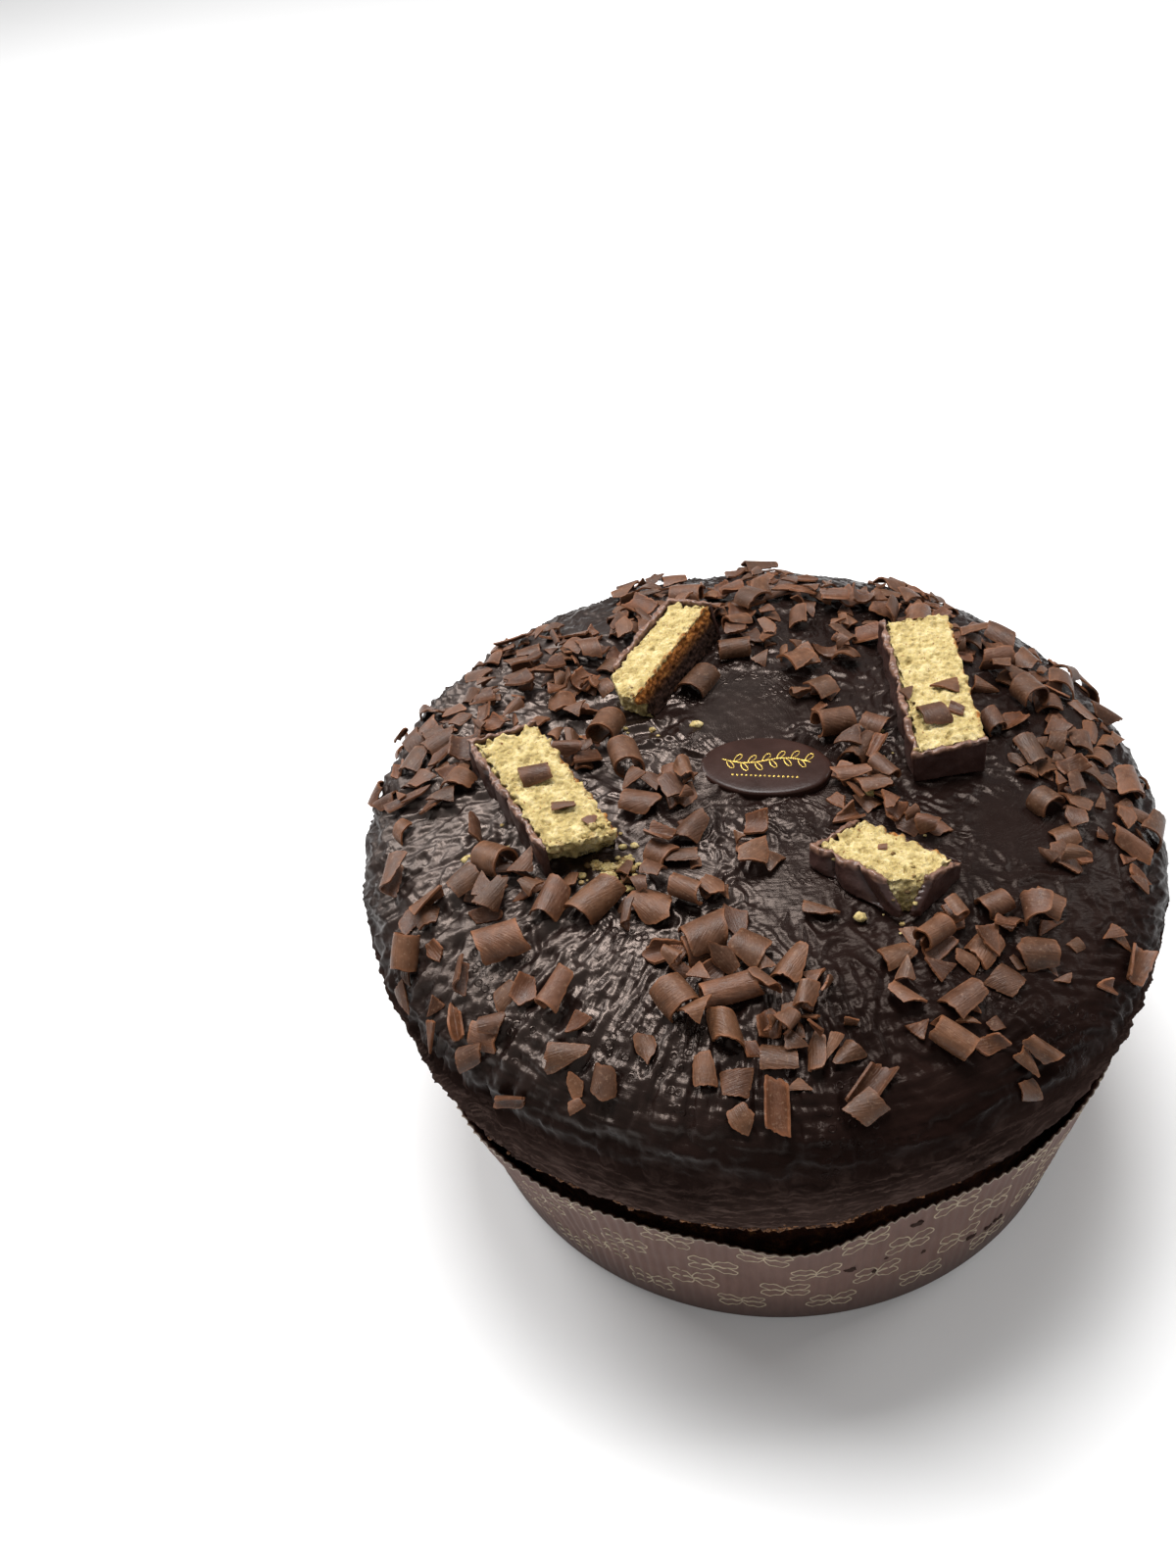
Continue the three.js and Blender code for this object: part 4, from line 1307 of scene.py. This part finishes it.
def make_curls(material, ground):
    drift = Drift(ground)
    rng = np.random.default_rng(2024)
    lay_large_curls(drift, material, rng)
    lay_bar_chips(drift, material, rng)
    lay_small_curls(drift, material, rng)


# ---- crumbs


def lump(centre, size, rng):
    """A small rough lump: vertices and faces."""
    columns, rows = 14, 9
    turn = np.linspace(0, TAU, columns, endpoint=False)[None, :]
    rise = np.linspace(0.02, pi - 0.02, rows)[:, None]
    ball = np.stack([np.sin(rise) * np.cos(turn), np.sin(rise) * np.sin(turn), np.cos(rise) + 0 * turn],
                    axis=-1).reshape(-1, 3)
    rough = 1 + 0.35 * crumbly(ball * 1.7 + rng.uniform(0, 90))
    rough = rough + 0.2 * crumbly(ball * 4 + rng.uniform(0, 90))
    vertices = ball * rough[:, None] * size / 2 * (1.25, 0.95, 0.8) + centre
    ends = [face[::-1] for face in end_faces(rows, columns)]
    return vertices, grid_faces(rows, columns, wrap=True).tolist() + ends


# where crumbs fell: bar, place along and to the left of its middle, spread, how many, largest
CRUMB_SPILLS = (
    ("bar_1", 29, 6, 3.6, 90, 2.3), ("bar_1", 26, -3, 3, 12, 2.4), ("bar_1", 2, -14, 7, 8, 1.4),
    ("bar_2", 24, 8, 5, 9, 1.6), ("bar_3", 16, -12, 6, 12, 1.5), ("bar_4", 14, -12, 5, 9, 1.4),
    ("bar_4", 0, 12, 6, 6, 1.2),
)


def make_crumbs(material, ground):
    rng = np.random.default_rng(9)
    for index in range(1, 5):
        low, high = (np.array(corner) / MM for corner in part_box(f"crumb_{index:02d}"))
        shape = lump((low + high) / 2 - (0, 0, 0.3), (high - low)[0] * 1.15, rng)
        crumb = mesh_object(f"sponge_crumb_{index:02d}", *shape, material, "sponge")
        paint(crumb, "toast", np.zeros(len(crumb.data.vertices)))
        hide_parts(f"crumb_{index:02d}")
    scattered = []
    for bar, along, across, spread, count, largest in CRUMB_SPILLS:
        origin, axes = bar_axes(bar)
        for _ in range(count):
            offset = (along + rng.normal(0, spread), across + rng.normal(0, spread), 0)
            start = Vector(origin + np.array(offset) @ axes + (0, 0, 30))
            hit = ground.ray_cast(start, Vector((0, 0, -1)))
            if hit[0] is not None:
                size = rng.uniform(0.5, largest)
                scattered.append(lump(np.array(hit[0]) + (0, 0, size * 0.25), size, rng))
    fine = mesh_object("fine_crumbs", *joined(scattered), material, "sponge")
    browned = rng.uniform(0, 1, len(scattered)) ** 3
    paint(fine, "toast", np.repeat(browned, len(scattered[0][0])))


# ---- stage, light and camera


def make_stage():
    look = Look("studio_floor", 0.9, Specular_IOR_Level=0.1)
    look.colour(look.two_tone(look.noise(400, 2), (0.86, 0.86, 0.86), (0.88, 0.88, 0.88)))
    corners = [(3000 * x, 3000 * y, -0.1) for x, y in ((-1, -1), (1, -1), (1, 1), (-1, 1))]
    floor = mesh_object("floor", corners, [[0, 1, 2, 3]], look.material, "case_paper")


# name, place, size in metres and power of each light; all of them face the middle of the cake
LIGHTS = (
    ("window", (-0.85, 0.5, 0.9), (0.6, 0.5), 11),
    ("ceiling", (-0.08, 0.3, 1.3), (0.6, 0.5), 19),
    ("side_window", (0.9, 0.45, 0.8), (0.3, 0.6), 3),
)


def area_light(name, place, size, power):
    lamp = bpy.data.lights.new(name, "AREA")
    lamp.shape = "RECTANGLE"
    lamp.size, lamp.size_y = size
    lamp.energy = power
    light = bpy.data.objects.new(name, lamp)
    light.location = place
    light.rotation_euler = (Vector((0, 0, 0.1)) - Vector(place)).to_track_quat("-Z", "Y").to_euler()
    bpy.context.scene.collection.objects.link(light)


def make_light():
    world = bpy.data.worlds.new("studio")
    world.use_nodes = True
    background = world.node_tree.nodes["Background"]
    background.inputs["Color"].default_value = (1, 1, 1, 1)
    background.inputs["Strength"].default_value = 0.38
    bpy.context.scene.world = world
    bpy.context.scene.view_settings.view_transform = "Standard"
    for light in LIGHTS:
        area_light(*light)


def make_camera():
    lens, view_height = 33.22, 36
    place, target, roll = Vector((0, -0.294, 0.4225)), Vector((-0.0554, 0.0255, 0.1)), radians(-7.23)
    data = bpy.data.cameras.new("camera")
    data.sensor_fit = "VERTICAL"
    data.sensor_height = view_height
    data.lens = lens
    camera = bpy.data.objects.new("camera", data)
    camera.location = place
    camera.rotation_mode = "QUATERNION"
    aim = (target - place).to_track_quat("-Z", "Y")
    camera.rotation_quaternion = aim @ Quaternion((0, 0, 1), roll)
    bpy.context.scene.collection.objects.link(camera)
    bpy.context.scene.camera = camera


make_stage()
make_light()
make_camera()
glaze_material = glaze_look()
glaze_piece = make_glaze(glaze_material)
make_loaf(crust_look())
make_case(paper_look())
make_clovers(gold_look("pale_gold_print", (0.50, 0.41, 0.28), 0.42, 0.25))
make_smears(glaze_material)
make_hem_flakes(crust_flake_look())
# painted highlight: the pale band on the rim's cut edge stands in for the light it catches
make_rim_edge(gold_look("painted_rim_edge_highlight", (0.42, 0.34, 0.27), 0.5, 0.2))
make_plaque(plaque_look())
make_ornament(gold_look("gold_print", (0.75, 0.52, 0.12), 0.3, 0.75))

sponge_material, coat_material = sponge_look(), coat_look()
tops = [glaze_piece]
for bar_name in BARS:
    tops.append(make_sponge(bar_name, sponge_material))
    tops.append(make_coat(bar_name, coat_material))
ground = ground_tree(tops)
make_curls(curl_look(), ground)
make_crumbs(sponge_material, ground)
